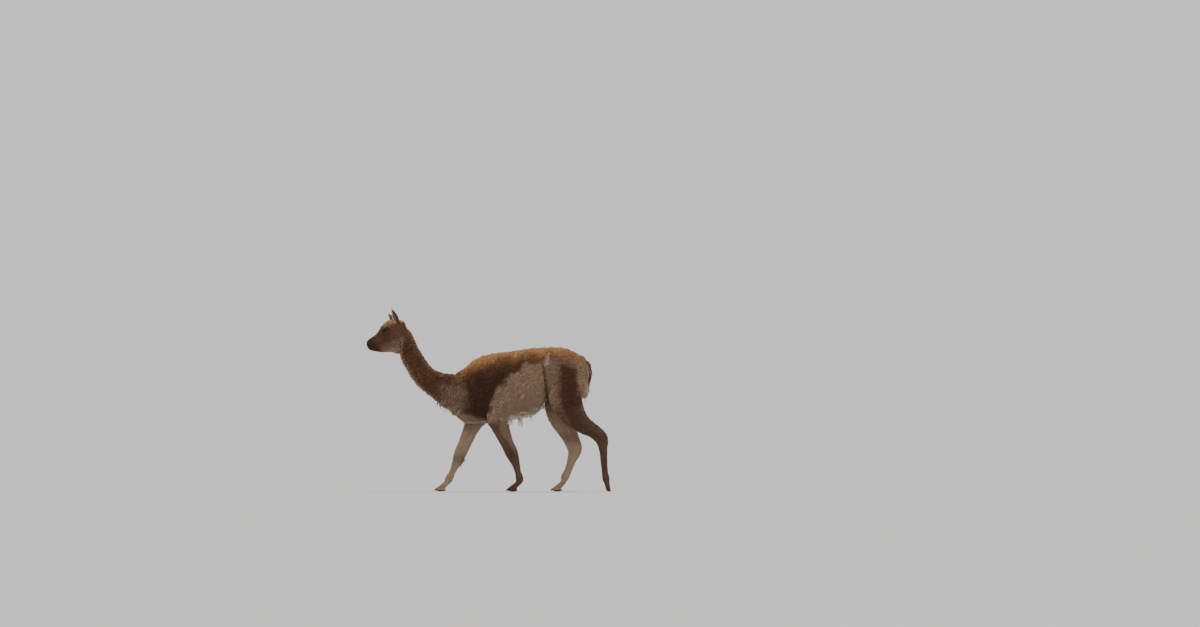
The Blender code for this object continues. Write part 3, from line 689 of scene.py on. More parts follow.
# Colours of the coat: fields with ragged edges, each laid over the last
def trunk_colour(p, n, ragged):
    """Golden top line, partly a painted highlight, over brown, dark shoulder, greyish flank, a thigh banded
    pale, dark and pale, and painted shade down the crease before the thigh.
    """
    x, y, z = p.T
    below = on_line(y, TOP_LINE) - z + 1.6 * ragged
    shoulder = np.exp(-(((y + 0.062 + 2 * ragged) / 0.082) ** 2) - ((z - 0.58) / 0.13) ** 2)
    breast = ramp(y + 2 * ragged, -0.10, -0.20) * ramp(z + 0.5 * y + 2 * ragged, 0.64, 0.54)
    low = ramp(z + 0.35 * y + ragged, 0.452, 0.425) * ramp(y, 0.02, -0.02)
    flank = ramp(on_line(y, FLANK_LINE) - z + 2.2 * ragged, -0.024, 0.028)
    streak = ramp(to_line(p[:, 1:], FLANK_STREAK) + ragged, 0.014, 0.007)
    belly = ramp(-n[:, 2] + 5 * ragged, 0.72, 0.92) * ramp(z, 0.6, 0.5)
    colour = layered(
        # the golden top line is partly the fleece's tone and partly a painted highlight where light falls
        # from above
        GOLD_HIGHLIGHT,
        (CINNAMON, ramp(below, 0.015, 0.06)),
        (mix(BROWN, DARK, 0.3), ramp(below, 0.04, 0.09)),
        (DARK, 0.7 * ramp(below, 0.10, 0.15) * ramp(y, 0.24, 0.16)),
        (mix(BROWN, DARK, 0.8), 0.95 * ramp(shoulder, 0.0, 1.0)),
        (CHEST, 0.85 * breast),
        (FLANK, 0.9 * low),
        (FLANK, flank * ramp(y + ragged, -0.035, 0.012)),
        (FLANK, 0.5 * streak),
        (WHITE, belly),
    )
    thigh = layered(
        mix(FLANK, BROWN, 0.22),
        (mix(BROWN, DARK, 0.55), 0.97 * ramp(y - on_line(z, BAND_FRONT) + 1.8 * ragged, -0.034, 0.03)),
        (FLANK, ramp(y - on_line(z, BAND_BACK) + 1.6 * ragged, -0.024, 0.022)),
        (CREAM, 0.6 * ramp(np.abs(x) + ragged, 0.09, 0.05) * ramp(y, 0.5, 0.54)),
    )
    haunch = ramp(below, 0.05, 0.105) * ramp(y + 0.4 * ragged, 0.322, 0.332)
    # painted shade: dark along the crease between flank and thigh, where the flank's fleece overhangs the
    # thigh
    crease = ramp(to_line(p[:, 1:], CREASE) + 0.3 * ragged, 0.013, 0.003)
    fleck = ramp(to_line(p[:, 1:], HIP_FLECK) + ragged, 0.013, 0.005) * ramp(x, 0.03, 0.06)
    return layered(colour, (thigh, haunch), (DARK, 0.7 * crease), (WHITE, 0.5 * fleck))


def neck_colour(p, n, ragged):
    """Brown, with a painted golden highlight along the nape, and a narrow pale stripe down the throat,
    partly pale hair and partly a painted rim highlight.
    """
    _, y, z = p.T
    ahead = n @ unit(np.array([0, -0.87, -0.5])) + 6 * ragged
    shade = ramp(noise(p * [1, 1, 0.5], 0.03, 4), -0.9, 0.9)
    breast = ramp(y + 2 * ragged, -0.33, -0.24) * ramp(z + 0.5 * y + 2 * ragged, 0.56, 0.50)
    return layered(
        CINNAMON,
        (BROWN, 0.75 + 0.25 * shade),
        (DARK, 0.15 + 0.2 * shade),
        # the pale throat stripe, by the way the neck faces: partly pale hair, partly a painted rim highlight
        (CHEST, ramp(ahead, 0.5, 0.9)),
        (CREAM, ramp(ahead, 0.84, 1.0)),
        # painted highlight: golden where the neck faces back and up
        (GOLD_HIGHLIGHT, 0.4 * ramp(-ahead, 0.4, 1.0)),
        (CHEST, 0.85 * breast),
    )


def head_colour(p):
    """Golden crown, a painted highlight, brown cheeks, dark muzzle, a dark patch about the eye, partly a
    mark and partly painted shade under the brow, and beige jaw and throat.
    """
    h = on_head(p)
    s = -h[:, 1]
    t = h[:, 2]
    blot = noise(h, 14, 5) + 0.5 * noise(h, 5, 6)
    jaw = ramp(t + 0.16 * s + 7 * blot, 2, -46) * ramp(s + 6 * blot, 172, 100)
    from_eye = np.linalg.norm(np.stack([s - 86, (t - 33) * 1.25], 1), axis=1) + 3 * blot
    return layered(
        CINNAMON,
        (BROWN, 0.55 + 0.35 * ramp(s + 8 * blot, 40, 110)),
        (DARK, 0.25),
        # painted highlight: golden over the crown
        (GOLD_HIGHLIGHT, ramp(t + 5 * blot, 54, 78) * ramp(s, 132, 100)),
        (BROWN, 0.9 * ramp(s + 5 * blot, 112, 142)),
        (CHEST, 0.85 * jaw),
        (CREAM, 0.5 * ramp(t + 6 * blot, -60, -88) * ramp(s, 160, 90)),
        # dark about the eye: partly a dark mark, partly painted shade under the brow
        (DARK, 0.5 * ramp(from_eye, 42, 18)),
        (DARK, 0.9 * ramp(s - 0.25 * t + 6 * blot, 150, 188)),
        (BARE, 0.6 * ramp(s + 2 * blot, 190, 206)),
        # painted shade: near black in the nostrils' hollows
        (NOSTRIL_SHADE, ramp(nostril_place(h), 4.0, 2.4)),
    )


def leg_colour(p, n, name, ragged):
    """Greyish brown outside, darker down the front and at the joints, paler inside and behind."""
    x, y, z = p.T
    fore = name.startswith("fore")
    umber = mix(BROWN, DARK, 0.5)
    lead = ramp(leg_line(p, name) - y + 1.5 * ragged, -0.016, 0.012)
    outside = ramp(n[:, 0] * np.sign(x) + 6 * ragged, -0.3, 0.4)
    joint = ramp(np.abs(z - (0.2 if fore else 0.33)), 0.05, 0.01)
    colour = layered(
        CREAM,
        (LEG, 0.45 + 0.55 * outside),
        (umber, (0.2 + 0.45 * outside) * lead),
        (umber, 0.35 * joint),
    )
    if fore:
        return mix(colour, umber, 0.65 * outside * ramp(z + 2 * ragged, 0.33, 0.24))
    band = ramp(y - on_line(z, LEG_BAND) + 1.5 * ragged, -0.014, 0.012) * ramp(z + ragged, 0.35, 0.40)
    shank = outside * ramp(z + ragged, 0.42, 0.34)
    return layered(colour, (umber, 0.8 * band * outside), (umber, 0.7 * shank))


def coat_colour(p, n):
    """The coat's colour at points with normals n."""
    ragged = 0.011 * noise(p, 0.05) + 0.006 * noise(p, 0.016, 1)
    shares = parts(p)
    tail = layered(
        BROWN,
        (CREAM, 0.8 * ramp(np.abs(p[:, 0]) + ragged, 0.016, 0.026)),
        (mix(CREAM, WHITE, 0.5), ramp(p[:, 2] + 2 * ragged, 0.675, 0.635)),
    )
    return layered(
        trunk_colour(p, n, ragged),
        (neck_colour(p, n, ragged), shares["neck"]),
        (head_colour(p), shares["head"]),
        *[(leg_colour(p, n, name, ragged), shares[name]) for name in LEGS],
        (tail, shares["tail"]),
    )


# Map for baking: a chart for each part of the skin, by its corner, width and height
CHARTS = {
    "trunk": (0.01, 0.01, 0.57, 0.54),
    "neck": (0.60, 0.01, 0.39, 0.26),
    "head": (0.60, 0.29, 0.39, 0.26),
    "foreleg_left": (0.01, 0.58, 0.23, 0.40),
    "foreleg_right": (0.26, 0.58, 0.23, 0.40),
    "hindleg_left": (0.51, 0.58, 0.23, 0.40),
    "hindleg_right": (0.76, 0.58, 0.23, 0.40),
}
CHART_NAMES = list(CHARTS)


def chart_of(p):
    """The number of the chart that each point falls in."""
    found = np.zeros(len(p), int)
    for name in LEGS:
        fore = name.startswith("fore")
        there = p[:, 1] < FORELEG_END if fore else p[:, 1] > FLANK_Y
        low = p[:, 2] < (FORELEG_TOP if fore else HINDLEG_TOP)
        found[on_side(p, name) & there & low] = CHART_NAMES.index(name)
    found[side_of(p, NECK_PLANE) < 0] = CHART_NAMES.index("neck")
    found[side_of(p, HEAD_PLANE) < 0] = CHART_NAMES.index("head")
    return found


def share_of_turn(a, b):
    """The angle of the way (b, a), as a share of a full turn from 0 to 1."""
    return np.arctan2(a, b) / (2 * np.pi) + 0.5


def chart_place(p, name):
    """u round the part and v along it, both 0 to 1, for points of one chart.

    Trunk and head are mapped from a ball, by longitude about their length and latitude. The neck
    and the legs are mapped from a tube, by the angle about their middle line and the way along it.
    """
    if name in ("trunk", "head"):
        d = (p - [0, 0.19, 0.65]) / [0.15, 0.42, 0.2]
        if name == "head":
            d = (on_head(p) - [0, -80, -5]) / [48, 125, 85]
        latitude = np.arctan2(d[:, 1], np.hypot(d[:, 0], d[:, 2]))
        return share_of_turn(d[:, 0], d[:, 2]), latitude / np.pi + 0.5
    if name == "neck":
        way = unit(np.array([0, 0.29, -0.36]))
        q = p - [0, -0.53, 0.96]
        side = q @ np.cross(way, [1, 0, 0])
        return share_of_turn(q[:, 0], side), np.clip((q @ way + 0.09) / 0.62, 0, 1)
    x = np.abs(p[:, 0]) - 0.076
    y = p[:, 1] - leg_line(p, name)
    v = (p[:, 2] - 0.3 * np.hypot(x, y) + 0.03) / (HINDLEG_TOP + 0.05)
    return share_of_turn(x, y), np.clip(v, 0, 1)


def chart_map(p, charts):
    """u and v of points in the charts that they are given."""
    u = np.zeros(len(p))
    v = np.zeros(len(p))
    for chart in np.unique(charts):
        there = charts == chart
        u[there], v[there] = chart_place(p[there], CHART_NAMES[chart])
    return u, v


def map_place(u, v, charts):
    """Places on the whole map for u and v in their charts."""
    left, low, wide, high = np.array([CHARTS[name] for name in CHART_NAMES])[charts].T
    return np.stack([left + u * wide, low + v * high], 1)


def map_skin(obj):
    """Gives the skin its map for baking, chart by chart, a face across a chart's seam kept whole."""
    mesh = obj.data
    points = own_points(obj)
    corner = read(mesh.loops, "vertex_index", 1, np.int32)[:, 0]
    size = read(mesh.polygons, "loop_total", 1, np.int32)[:, 0]
    face = np.repeat(np.arange(len(size)), size)
    middle = np.stack([np.bincount(face, points[corner, k]) for k in range(3)], 1) / size[:, None]
    charts = chart_of(middle)
    u_face, _ = chart_map(middle, charts)
    u, v = chart_map(points[corner], charts[face])
    u = u_face[face] + (u - u_face[face] + 0.5) % 1 - 0.5
    set_map(obj, map_place(u, v, charts[face]))


# Materials
def new_material(name, **values):
    """A material, its Principled shader with these values on its own sockets."""
    material = bpy.data.materials.new(name)
    material.use_nodes = True
    shader = material.node_tree.nodes["Principled BSDF"]
    for key, value in values.items():
        shader.inputs[key.replace("_", " ")].default_value = value
    return material, material.node_tree, shader


def add_node(tree, kind, settings=(), inputs=(), links=()):
    """Adds a node, sets its properties and sockets, and links sockets to other nodes' outputs."""
    node = tree.nodes.new("ShaderNode" + kind)
    for key, value in dict(settings).items():
        setattr(node, key, value)
    for key, value in dict(inputs).items():
        node.inputs[key].default_value = value
    for key, output in dict(links).items():
        tree.links.new(output, node.inputs[key])
    return node


def connect(tree, shader, **outputs):
    """Links outputs to the shader's sockets of these names."""
    for key, output in outputs.items():
        tree.links.new(output, shader.inputs[key.replace("_", " ")])


def hide_material():
    """Hide under the coat: matt, darkened towards the colour of the hair's roots as painted shade under the
    hair, with the grain of short hair.

    Bare parts, such as the nose leather, are darker and a little moist.
    """
    material, tree, shader = new_material("short_haired_hide", Specular_IOR_Level=0.35)
    place = add_node(tree, "TexCoord").outputs["Object"]
    coat = add_node(tree, "Attribute", {"attribute_name": "coat"}).outputs["Color"]
    # hair grain about 2.5 mm wide, coarser than real hair so that it shows
    grain = add_node(tree, "TexNoise", (), {"Scale": 400, "Detail": 3}, {"Vector": place}).outputs["Fac"]
    shade = add_node(tree, "MapRange", (), {"To Min": 0.82, "To Max": 1.15}, {"Value": grain})
    tint = add_node(tree, "VectorMath", {"operation": "SCALE"}, (), {0: coat, "Scale": shade.outputs[0]})
    bare = add_node(tree, "Attribute", {"attribute_name": "bare"}).outputs["Fac"]
    rough = add_node(tree, "MapRange", (), {"To Min": 0.88, "To Max": 0.42}, {"Value": bare})
    bump = add_node(tree, "Bump", (), {"Strength": 0.55, "Distance": 0.0012}, {"Height": grain})
    connect(tree, shader, Base_Color=tint.outputs[0], Roughness=rough.outputs[0], Normal=bump.outputs[0])
    return material


def fleece_material():
    """Fine camelid hair: matt, with a soft sheen where light grazes it.

    Each tuft carries its own place across, along and a number, so that it shows as several hairs.
    """
    material, tree, shader = new_material(
        "vicuna_fleece", Roughness=0.75, Sheen_Weight=0.25, Sheen_Roughness=0.4, Specular_IOR_Level=0.35
    )
    shader.inputs["Sheen Tint"].default_value = (*linear("F0DCC0"), 1)
    coat = add_node(tree, "Attribute", {"attribute_name": "coat"}).outputs["Color"]
    strand = add_node(tree, "Attribute", {"attribute_name": "strand"}).outputs["Vector"]
    # about four hairs across a tuft, drawn out along it
    stretch = add_node(tree, "VectorMath", {"operation": "MULTIPLY"}, {1: (2.2, 0.55, 1)}, {0: strand})
    hairs = add_node(tree, "TexNoise", (), {"Scale": 1.6, "Detail": 2}, {"Vector": stretch.outputs[0]})
    hairs = hairs.outputs["Fac"]
    tones = {"From Min": 0.25, "From Max": 0.75, "To Min": 0.72, "To Max": 1.2}
    shade = add_node(tree, "MapRange", (), tones, {"Value": hairs})
    tint = add_node(tree, "VectorMath", {"operation": "SCALE"}, (), {0: coat, "Scale": shade.outputs[0]})
    bump = add_node(tree, "Bump", (), {"Strength": 0.5, "Distance": 0.0004}, {"Height": hairs})
    connect(tree, shader, Base_Color=tint.outputs[0], Normal=bump.outputs[0])
    return material


def eye_material():
    """Living eye: clear wet cornea over a nearly black brown iris and a wide level pupil."""
    # reflects as little as a real cornea, about 2 %
    material, tree, shader = new_material("wet_cornea", Roughness=0.05, Specular_IOR_Level=0.25)
    place = add_node(tree, "TexCoord").outputs["Object"]
    look = add_node(tree, "Attribute", {"attribute_name": "coat"}).outputs["Color"]
    # iris fibres, about 1 mm
    fibre = add_node(tree, "TexNoise", (), {"Scale": 900, "Detail": 2}, {"Vector": place})
    shade = add_node(tree, "MapRange", (), {"To Min": 0.7, "To Max": 1.3}, {"Value": fibre.outputs["Fac"]})
    tint = add_node(tree, "VectorMath", {"operation": "SCALE"}, (), {0: look, "Scale": shade.outputs[0]})
    connect(tree, shader, Base_Color=tint.outputs[0])
    return material


def horn_material():
    """Toenail horn: dark, dull, with fine ridges across and paler patches here and there."""
    material, tree, shader = new_material("toenail_horn", Specular_IOR_Level=0.4)
    place = add_node(tree, "TexCoord").outputs["Object"]
    # growth ridges 1.5 mm apart
    grooves = {"Scale": 100, "Distortion": 1.5, "Detail": 2}
    ridge = add_node(tree, "TexWave", {"bands_direction": "Y"}, grooves, {"Vector": place})
    cloud = add_node(tree, "TexNoise", (), {"Scale": 160, "Detail": 4}, {"Vector": place}).outputs["Fac"]
    tones = {6: (*linear("1F1A17"), 1), 7: (*linear("4A3F36"), 1)}
    tint = add_node(tree, "Mix", {"data_type": "RGBA"}, tones, {0: cloud})
    rough = add_node(tree, "MapRange", (), {"To Min": 0.4, "To Max": 0.65}, {"Value": cloud})
    relief = {"Strength": 0.3, "Distance": 0.0004}
    bump = add_node(tree, "Bump", (), relief, {"Height": ridge.outputs["Fac"]})
    connect(tree, shader, Base_Color=tint.outputs[2], Roughness=rough.outputs[0], Normal=bump.outputs[0])
    return material


def floor_material():
    """Plain pale studio floor, painted and matt."""
    material, tree, shader = new_material("painted_floor", Specular_IOR_Level=0.1, Roughness=0.9)
    place = add_node(tree, "TexCoord").outputs["Object"]
    cloud = add_node(tree, "TexNoise", (), {"Scale": 1.5, "Detail": 3}, {"Vector": place})
    tones = {6: (*linear("B0B3B8"), 1), 7: (*linear("B2B5BA"), 1)}
    tint = add_node(tree, "Mix", {"data_type": "RGBA"}, tones, {0: cloud.outputs["Fac"]})
    connect(tree, shader, Base_Color=tint.outputs[2])
    return material


# Skin
def without_locks(name, points):
    """Lifts the solids' locks of hair flat against belly and tail tip, where long hairs take over.

    The belly's level rises to its sides by 0.2 (1 - sqrt(1 - x^2)), x from 0 to 1 over half its width.
    """
    p = points - SHIFT
    x = np.clip(np.abs(p[:, 0]) / 0.155, 0, 1)
    belly = on_line(p[:, 1], BELLY_LINE) + 0.2 * (1 - np.sqrt(1 - x * x))
    if name == "torso":
        lock = (p[:, 1] > 0.1) & (p[:, 1] < 0.31) & (x < 0.6) & (p[:, 2] < belly - 0.004)
        p[lock, 2] = belly[lock]
    if name == "tail":
        p[:, 2] = np.maximum(p[:, 2], TAIL_TIP)
    return p + SHIFT


def swollen_flesh(names, by=0.0004):
    """The named solids as one mesh, each grown by a little so that the cuts between them close."""
    points = []
    faces = []
    start = 0
    for name in names:
        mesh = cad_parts[name].data
        co = read(mesh.vertices, "co").astype(float)
        _, first, index = np.unique(np.round(co, 5), axis=0, return_index=True, return_inverse=True)
        mesh.calc_loop_triangles()
        tri = index.reshape(-1)[read(mesh.loop_triangles, "vertices", kind=np.int32)]
        tri = tri[(tri[:, 0] != tri[:, 1]) & (tri[:, 1] != tri[:, 2]) & (tri[:, 2] != tri[:, 0])]
        co = without_locks(name, co[first])
        a, b, c = co[tri].transpose(1, 0, 2)
        normal = np.zeros_like(co)
        across = np.cross(b - a, c - a)
        for k in range(3):
            for axis in range(3):
                normal[:, axis] += np.bincount(tri[:, k], across[:, axis], len(co))
        points.append(co + by * unit(normal))
        faces.append(tri + start)
        start += len(co)
    return add_mesh("flesh", np.concatenate(points), np.concatenate(faces))


def ring_normals(h):
    """The way out of a head made of rings, at each of its points."""
    down = np.gradient(h, axis=0)
    round_it = np.roll(h, -1, 1) - np.roll(h, 1, 1)
    n = unit(np.cross(round_it, down))
    centre = np.concatenate([0 * h[:, :1, :1], h.mean(1, keepdims=True)[:, :, 1:]], 2)
    return n * np.sign((n * (h - centre)).sum(2, keepdims=True).mean())


def head_form():
    """Rings about the head's length, with its swellings and hollows, down to the skin.

    A ring's point lies w |cos v|^(1 - 0.3 a) (1 - 0.34 b^1.5) to the side and half the height times
    sin v above the middle, where a is sin v in the upper half and b is -sin v in the lower. Each form
    moves the surface sideways by height exp(-(distance / reach)^2).
    """
    ahead, top, bottom, wide = along(HEAD, FACE_RINGS, 4).T[:, :, None]
    v = np.linspace(0, 2 * np.pi, FACE_SIDES, endpoint=False)
    above = np.clip(np.sin(v), 0, 1)
    below = np.clip(-np.sin(v), 0, 1)
    x = wide * np.sign(np.cos(v)) * np.abs(np.cos(v)) ** (1 - 0.3 * above)
    x = x * (1 - 0.34 * below**1.5)
    z = (top + bottom) / 2 + (top - bottom) / 2 * np.sin(v)
    h = np.stack([x, np.broadcast_to(-ahead, x.shape), z], 2)
    outward = np.stack([np.sign(x) * 0.9, 0 * x, 0 * x], 2)
    for at_x, at_ahead, at_up, reach, height in HEAD_FORMS:
        away = one_side(h) - [at_x, -at_ahead, at_up]
        push = height * np.exp(-((away / reach) ** 2).sum(2))
        h = h + push[:, :, None] * outward

    # the skin lies under the coat, and deeper at the back, where the neck's own skin takes over
    length = hair_length_on_head(h.reshape(-1, 3)).reshape(x.shape)
    inset = 0.32 * length + 5 * ramp(-h[:, :, 1], 30, 0)
    return h - inset[:, :, None] * ring_normals(h)


def with_lids(h):
    """Skin laid on the eyeballs: inside the opening it dips, and round it lies a rim with a crease above."""
    edge, q = lid_place(h)
    radius = np.linalg.norm(q, axis=2)
    angle = np.arccos(np.clip((q @ eye_axes()[0]) / np.maximum(radius, 1), -1, 1))
    lid = EYE_RADIUS - 5 + 6.9 * ramp(edge, 0.94, 1.02) - 0.7 * ramp(edge, 1.05, 1.25)
    crease = ramp(q[:, :, 2], 0, 9) * hump(edge, 1.55, 0.13)
    held = ramp(edge, 1.9, 1.1) * ramp(angle, LID_REACH, 0.98)
    target = blend(radius, lid, held) - crease
    laid = q * (target / np.maximum(radius, 1))[:, :, None] + EYE_SEAT
    laid[:, :, 0] *= np.sign(h[:, :, 0])
    return np.where((angle < LID_REACH)[:, :, None], laid, h)


def with_mouth_and_nose(h):
    """Grooves for the mouth, the nostrils and the split upper lip, with full lips and rims about them."""
    x, y, z = np.moveaxis(h, 2, 0)
    mouth = mouth_place(h)
    lip = 1.0 + 0.8 * ramp(-y, 150, 200)
    push = -2.8 * hump(mouth, 0, 1.2) + lip * hump(mouth, 5, 3.2)
    hole = nostril_place(h)
    push = push - 6.5 * hump(hole, 0, 2.3) + 1.6 * hump(hole, 5.5, 2.2)
    split = hump(x, 0, 1.4) * ramp(-y, 200, 206) * ramp(z, -24, -20)
    push = push - 2.6 * split * ramp(z, 2, -6)
    # faint folds behind the mouth and over the cheek
    fold = ramp(-y, 90, 120) * ramp(-y, 185, 160)
    push = push + 0.35 * fold * noise(h * [1, 1, 0.4], 7, 8)
    return h + push[:, :, None] * ring_normals(h)


def add_face():
    """The fine head, closed, with its lids, lips and nostrils."""
    face = add_tube("face", place_on_head(with_mouth_and_nose(with_lids(head_form()))))
    bake_modifier(face, "TRIANGULATE")
    bake_modifier(face, "DECIMATE", ratio=FACE_TRIANGLES / len(face.data.polygons))
    return face


def add_skin(material):
    """One closed skin inside the solids' flesh by the coat's depth, with the fine head let into it."""
    names = [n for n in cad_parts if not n.startswith(("eye", "ear", "nail"))]

    # the solids drawn into one smooth skin, which is then sunk under the coat's tips
    skin = swollen_flesh(names)
    skin.name = "skin"
    bake_modifier(skin, "REMESH", mode="VOXEL", voxel_size=SKIN_VOXEL)
    relax(skin, 34, 0.62 - 0.30 * ramp(own_points(skin)[:, 2], 0.12, 0.08))
    n = normals_of(skin)
    depth = coat_depth(own_points(skin), n) * MM
    move_points(skin, points_of(skin) - depth[:, None] * n)
    relax(skin, 6, 0.5)
    bake_modifier(skin, "TRIANGULATE")
    bake_modifier(skin, "DECIMATE", ratio=SKIN_TRIANGLES / len(skin.data.polygons))

    # the fine head joined to it, and the seam behind it smoothed
    face = add_face()
    bake_modifier(skin, "BOOLEAN", operation="UNION", object=face, solver="MANIFOLD")
    bpy.data.objects.remove(face)
    p = own_points(skin)
    relax(skin, 10, 0.6 * parts(p)["head"] * hump(-on_head(p)[:, 1], 18, 16))

    give_material(skin, material)
    p = own_points(skin)
    n = normals_of(skin)
    bare = bare_share(p, n)
    # painted shade: the coat's colour a little darkened on the skin under the hair
    paint(skin, mix(0.95 * coat_colour(p, n), BARE, bare))
    mark(skin, "bare", bare)
    map_skin(skin)
    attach(skin, "root")
    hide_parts(*names)
    return skin


# Coat
# A tuft's corners are its root, left and right edge, and tip. Its faces are two above and two below.
# Each corner has its place across and along the tuft, its painted shade, darker at the root where the tufts
# crowd and lighter at the tip, and its place on the map for baking
TUFT = np.array([(0, 2, 1), (2, 3, 1), (0, 1, 3), (0, 3, 2)])
TUFT_STRAND = [(0, 0), (-1, 0.4), (1, 0.4), (0, 1)]
TUFT_SHADE = np.array([0.78, 0.97, 0.97, 1.12])
TUFT_MAP = 0.0015 * np.array([(0, -1), (-1, -0.1), (1, 0.1), (0.2, 1)])


def add_tufts(name, material, root, normal, lie, length, width, lift, colour, uv, pull=0):
    """Closed tapering tufts: the middle runs root + L (0.95 k lie + (a k - b k^2) normal) + k^2 pull.

    k goes from 0 at the root to 1 at the tip, a - b is the lift, and a tuft is widest at k = 0.4,
    where it stands above the straight way from root to tip, so that it is an arched blade.
    """
    count = len(root)
    long = (length * MM)[:, None]
    side = 0.5 * (width * MM)[:, None] * np.cross(lie, normal)
    bend = 0.5

    def middle(k):
        rise = (lift[:, None] + bend) * k - bend * k * k
        return root + long * (0.95 * k * lie + rise * normal) + k * k * pull

    start = root - 0.05 * long * lie - 0.0010 * normal
    points = np.stack([start, middle(0.4) - side, middle(0.4) + side, middle(1.0)], 1)
    faces = TUFT[None] + 4 * np.arange(count)[:, None, None]
    obj = add_mesh(name, points.reshape(-1, 3), faces.reshape(-1, 3))
    # painted shade: each tuft darker at its root and lighter at its tip
    paint(obj, (colour[:, None] * TUFT_SHADE[None, :, None]).reshape(-1, 3))
    strand = np.zeros((count, 4, 3), np.float32)
    strand[:, :, :2] = TUFT_STRAND
    strand[:, :, 2] = 40 * scatter(np.floor(root / 0.0001), 9)[:, None]
    mark(obj, "strand", strand, "FLOAT_VECTOR", "vector")
    set_map(obj, (uv[:, None] + TUFT_MAP[None]).reshape(-1, 2)[faces.ravel()])
    obj.data.materials.append(material)
    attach(obj, "root")
    return obj


def some_of(tufts, which):
    """The chosen rows of each of the tufts' arrays."""
    return {key: values[which] for key, values in tufts.items()}


def tuft_width(length):
    """Width of a tuft in mm for its length in mm."""
    return np.clip(0.3 + 0.06 * length, 0.45, 2.2)


def sample_skin(skin, rng):
    """Roots spread over the skin, as many to an area as their hair needs to cover it."""
    p = own_points(skin)
    n = normals_of(skin)
    skin.data.calc_loop_triangles()
    tri = read(skin.data.loop_triangles, "vertices", kind=np.int32)
    length, _, _ = hair_plan(p, n)
    shares = parts(p)
    head = shares["head"]
    cover = blend(TRUNK_COVER, LEG_COVER, sum(shares[name] for name in LEGS))
    cover = blend(cover, HEAD_COVER, head)
    cover = blend(cover, MUZZLE_COVER, head * ramp(-on_head(p)[:, 1], 120, 165))
    wanted = cover / (0.5 * length * tuft_width(length)) / MM**2
    wanted = wanted * ramp(bare_share(p, n), 0.6, 0.2)
    a, b, c = p[tri].transpose(1, 0, 2)
    area = 0.5 * np.linalg.norm(np.cross(b - a, c - a), axis=1)
    amount = np.cumsum(area * wanted[tri].mean(1))
    count = int(amount[-1])
    at = (np.arange(count) + rng.random(count)) * amount[-1] / count
    face = np.minimum(np.searchsorted(amount, at), len(tri) - 1)
    u = np.sqrt(rng.random(count))
    w = rng.random(count)
    share = np.stack([1 - u, u * (1 - w), u * w], 1)[:, :, None]
    return (p[tri[face]] * share).sum(1), unit((n[tri[face]] * share).sum(1))


def hang_wisps(tufts, centre, key, other, rng):
    """Lengthens and hangs the hair of some clumps, and gives how white each tuft turns."""
    root = tufts["root"]
    lie = tufts["lie"]
    pale = np.zeros(len(root))
    for place, reach, share, extra, way in WISPS:
        near = (((root - place) / reach) ** 2).sum(1) < 1
        near = near & ((root[:, 2] < place[2] + 0.02) | (lie[:, 2] < -0.5)) & (other < share)
        tufts["length"][near] += blend(*extra, key[near]) * rng.uniform(0.7, 1.0, near.sum())
        sway = np.stack([noise(centre[near] * 40, 1, 50 + k) for k in range(3)], 1)
        lie[near] = unit(np.array(way) + sway * 0.25)
        tufts["lift"][near] *= 0.3
        tufts["width"][near] *= 0.7
        # white under the belly, hardly at chest and tail, not on the legs
        pale[near] = (0.75 if 0 < place[1] < 0.5 else 0.15) * (place[0] == 0)
    return pale


def add_coat(skin, material):
    """The coat over the skin, in clumps, one piece or more for each chart of the skin."""
    rng = np.random.default_rng(3)
    root, normal = sample_skin(skin, rng)
    count = len(root)
    length, lift, lie = hair_plan(root, normal)
    width = tuft_width(length) * rng.uniform(0.8, 1.25, count)
    centre, key = clump_of(root, CLUMP, 21)
    small = length < SHORT_HAIR
    centre[small], key[small] = clump_of(root[small], FINE_CLUMP, 31)
    other = scatter(np.floor(centre / MM), 5)
    pull = flat_to(centre - root, normal) * rng.uniform(0.35, 0.75, count)[:, None]
    length = length * (0.82 + 0.36 * key) * rng.uniform(0.8, 1.15, count)
    lift = lift * (0.8 + 0.4 * other) * rng.uniform(0.75, 1.2, count)
    lie = unit(lie + 0.12 * rng.normal(size=(count, 3)))
    lie = unit(flat_to(lie, normal))
    tufts = {"root": root, "normal": normal, "lie": lie, "length": length, "width": width, "lift": lift}
    pale = hang_wisps(tufts, centre, key, other, rng)
    colour = mix(coat_colour(root, normal), WHITE, pale)
    # clumps differ in tone, most on the shoulder
    patchy = 0.08 + 0.12 * hump(root[:, 1], -0.22, 0.09)
    colour = colour * (1 - patchy + 2 * patchy * key)[:, None] * rng.uniform(0.9, 1.1, count)[:, None]
    charts = chart_of(root)
    uv = map_place(*chart_map(root, charts), charts)
    tufts.update(root=root + SHIFT, colour=colour, uv=np.clip(uv, 0.003, 0.997), pull=pull)
    for chart, name in enumerate(CHART_NAMES):
        own = np.flatnonzero(charts == chart)
        order = own[np.argsort(root[own, 1], kind="stable")]
        for k, some in enumerate(np.array_split(order, int(np.ceil(len(order) / PIECE_TUFTS)))):
            piece = add_tufts(f"coat_{name}_{k + 1}", material, **some_of(tufts, some))


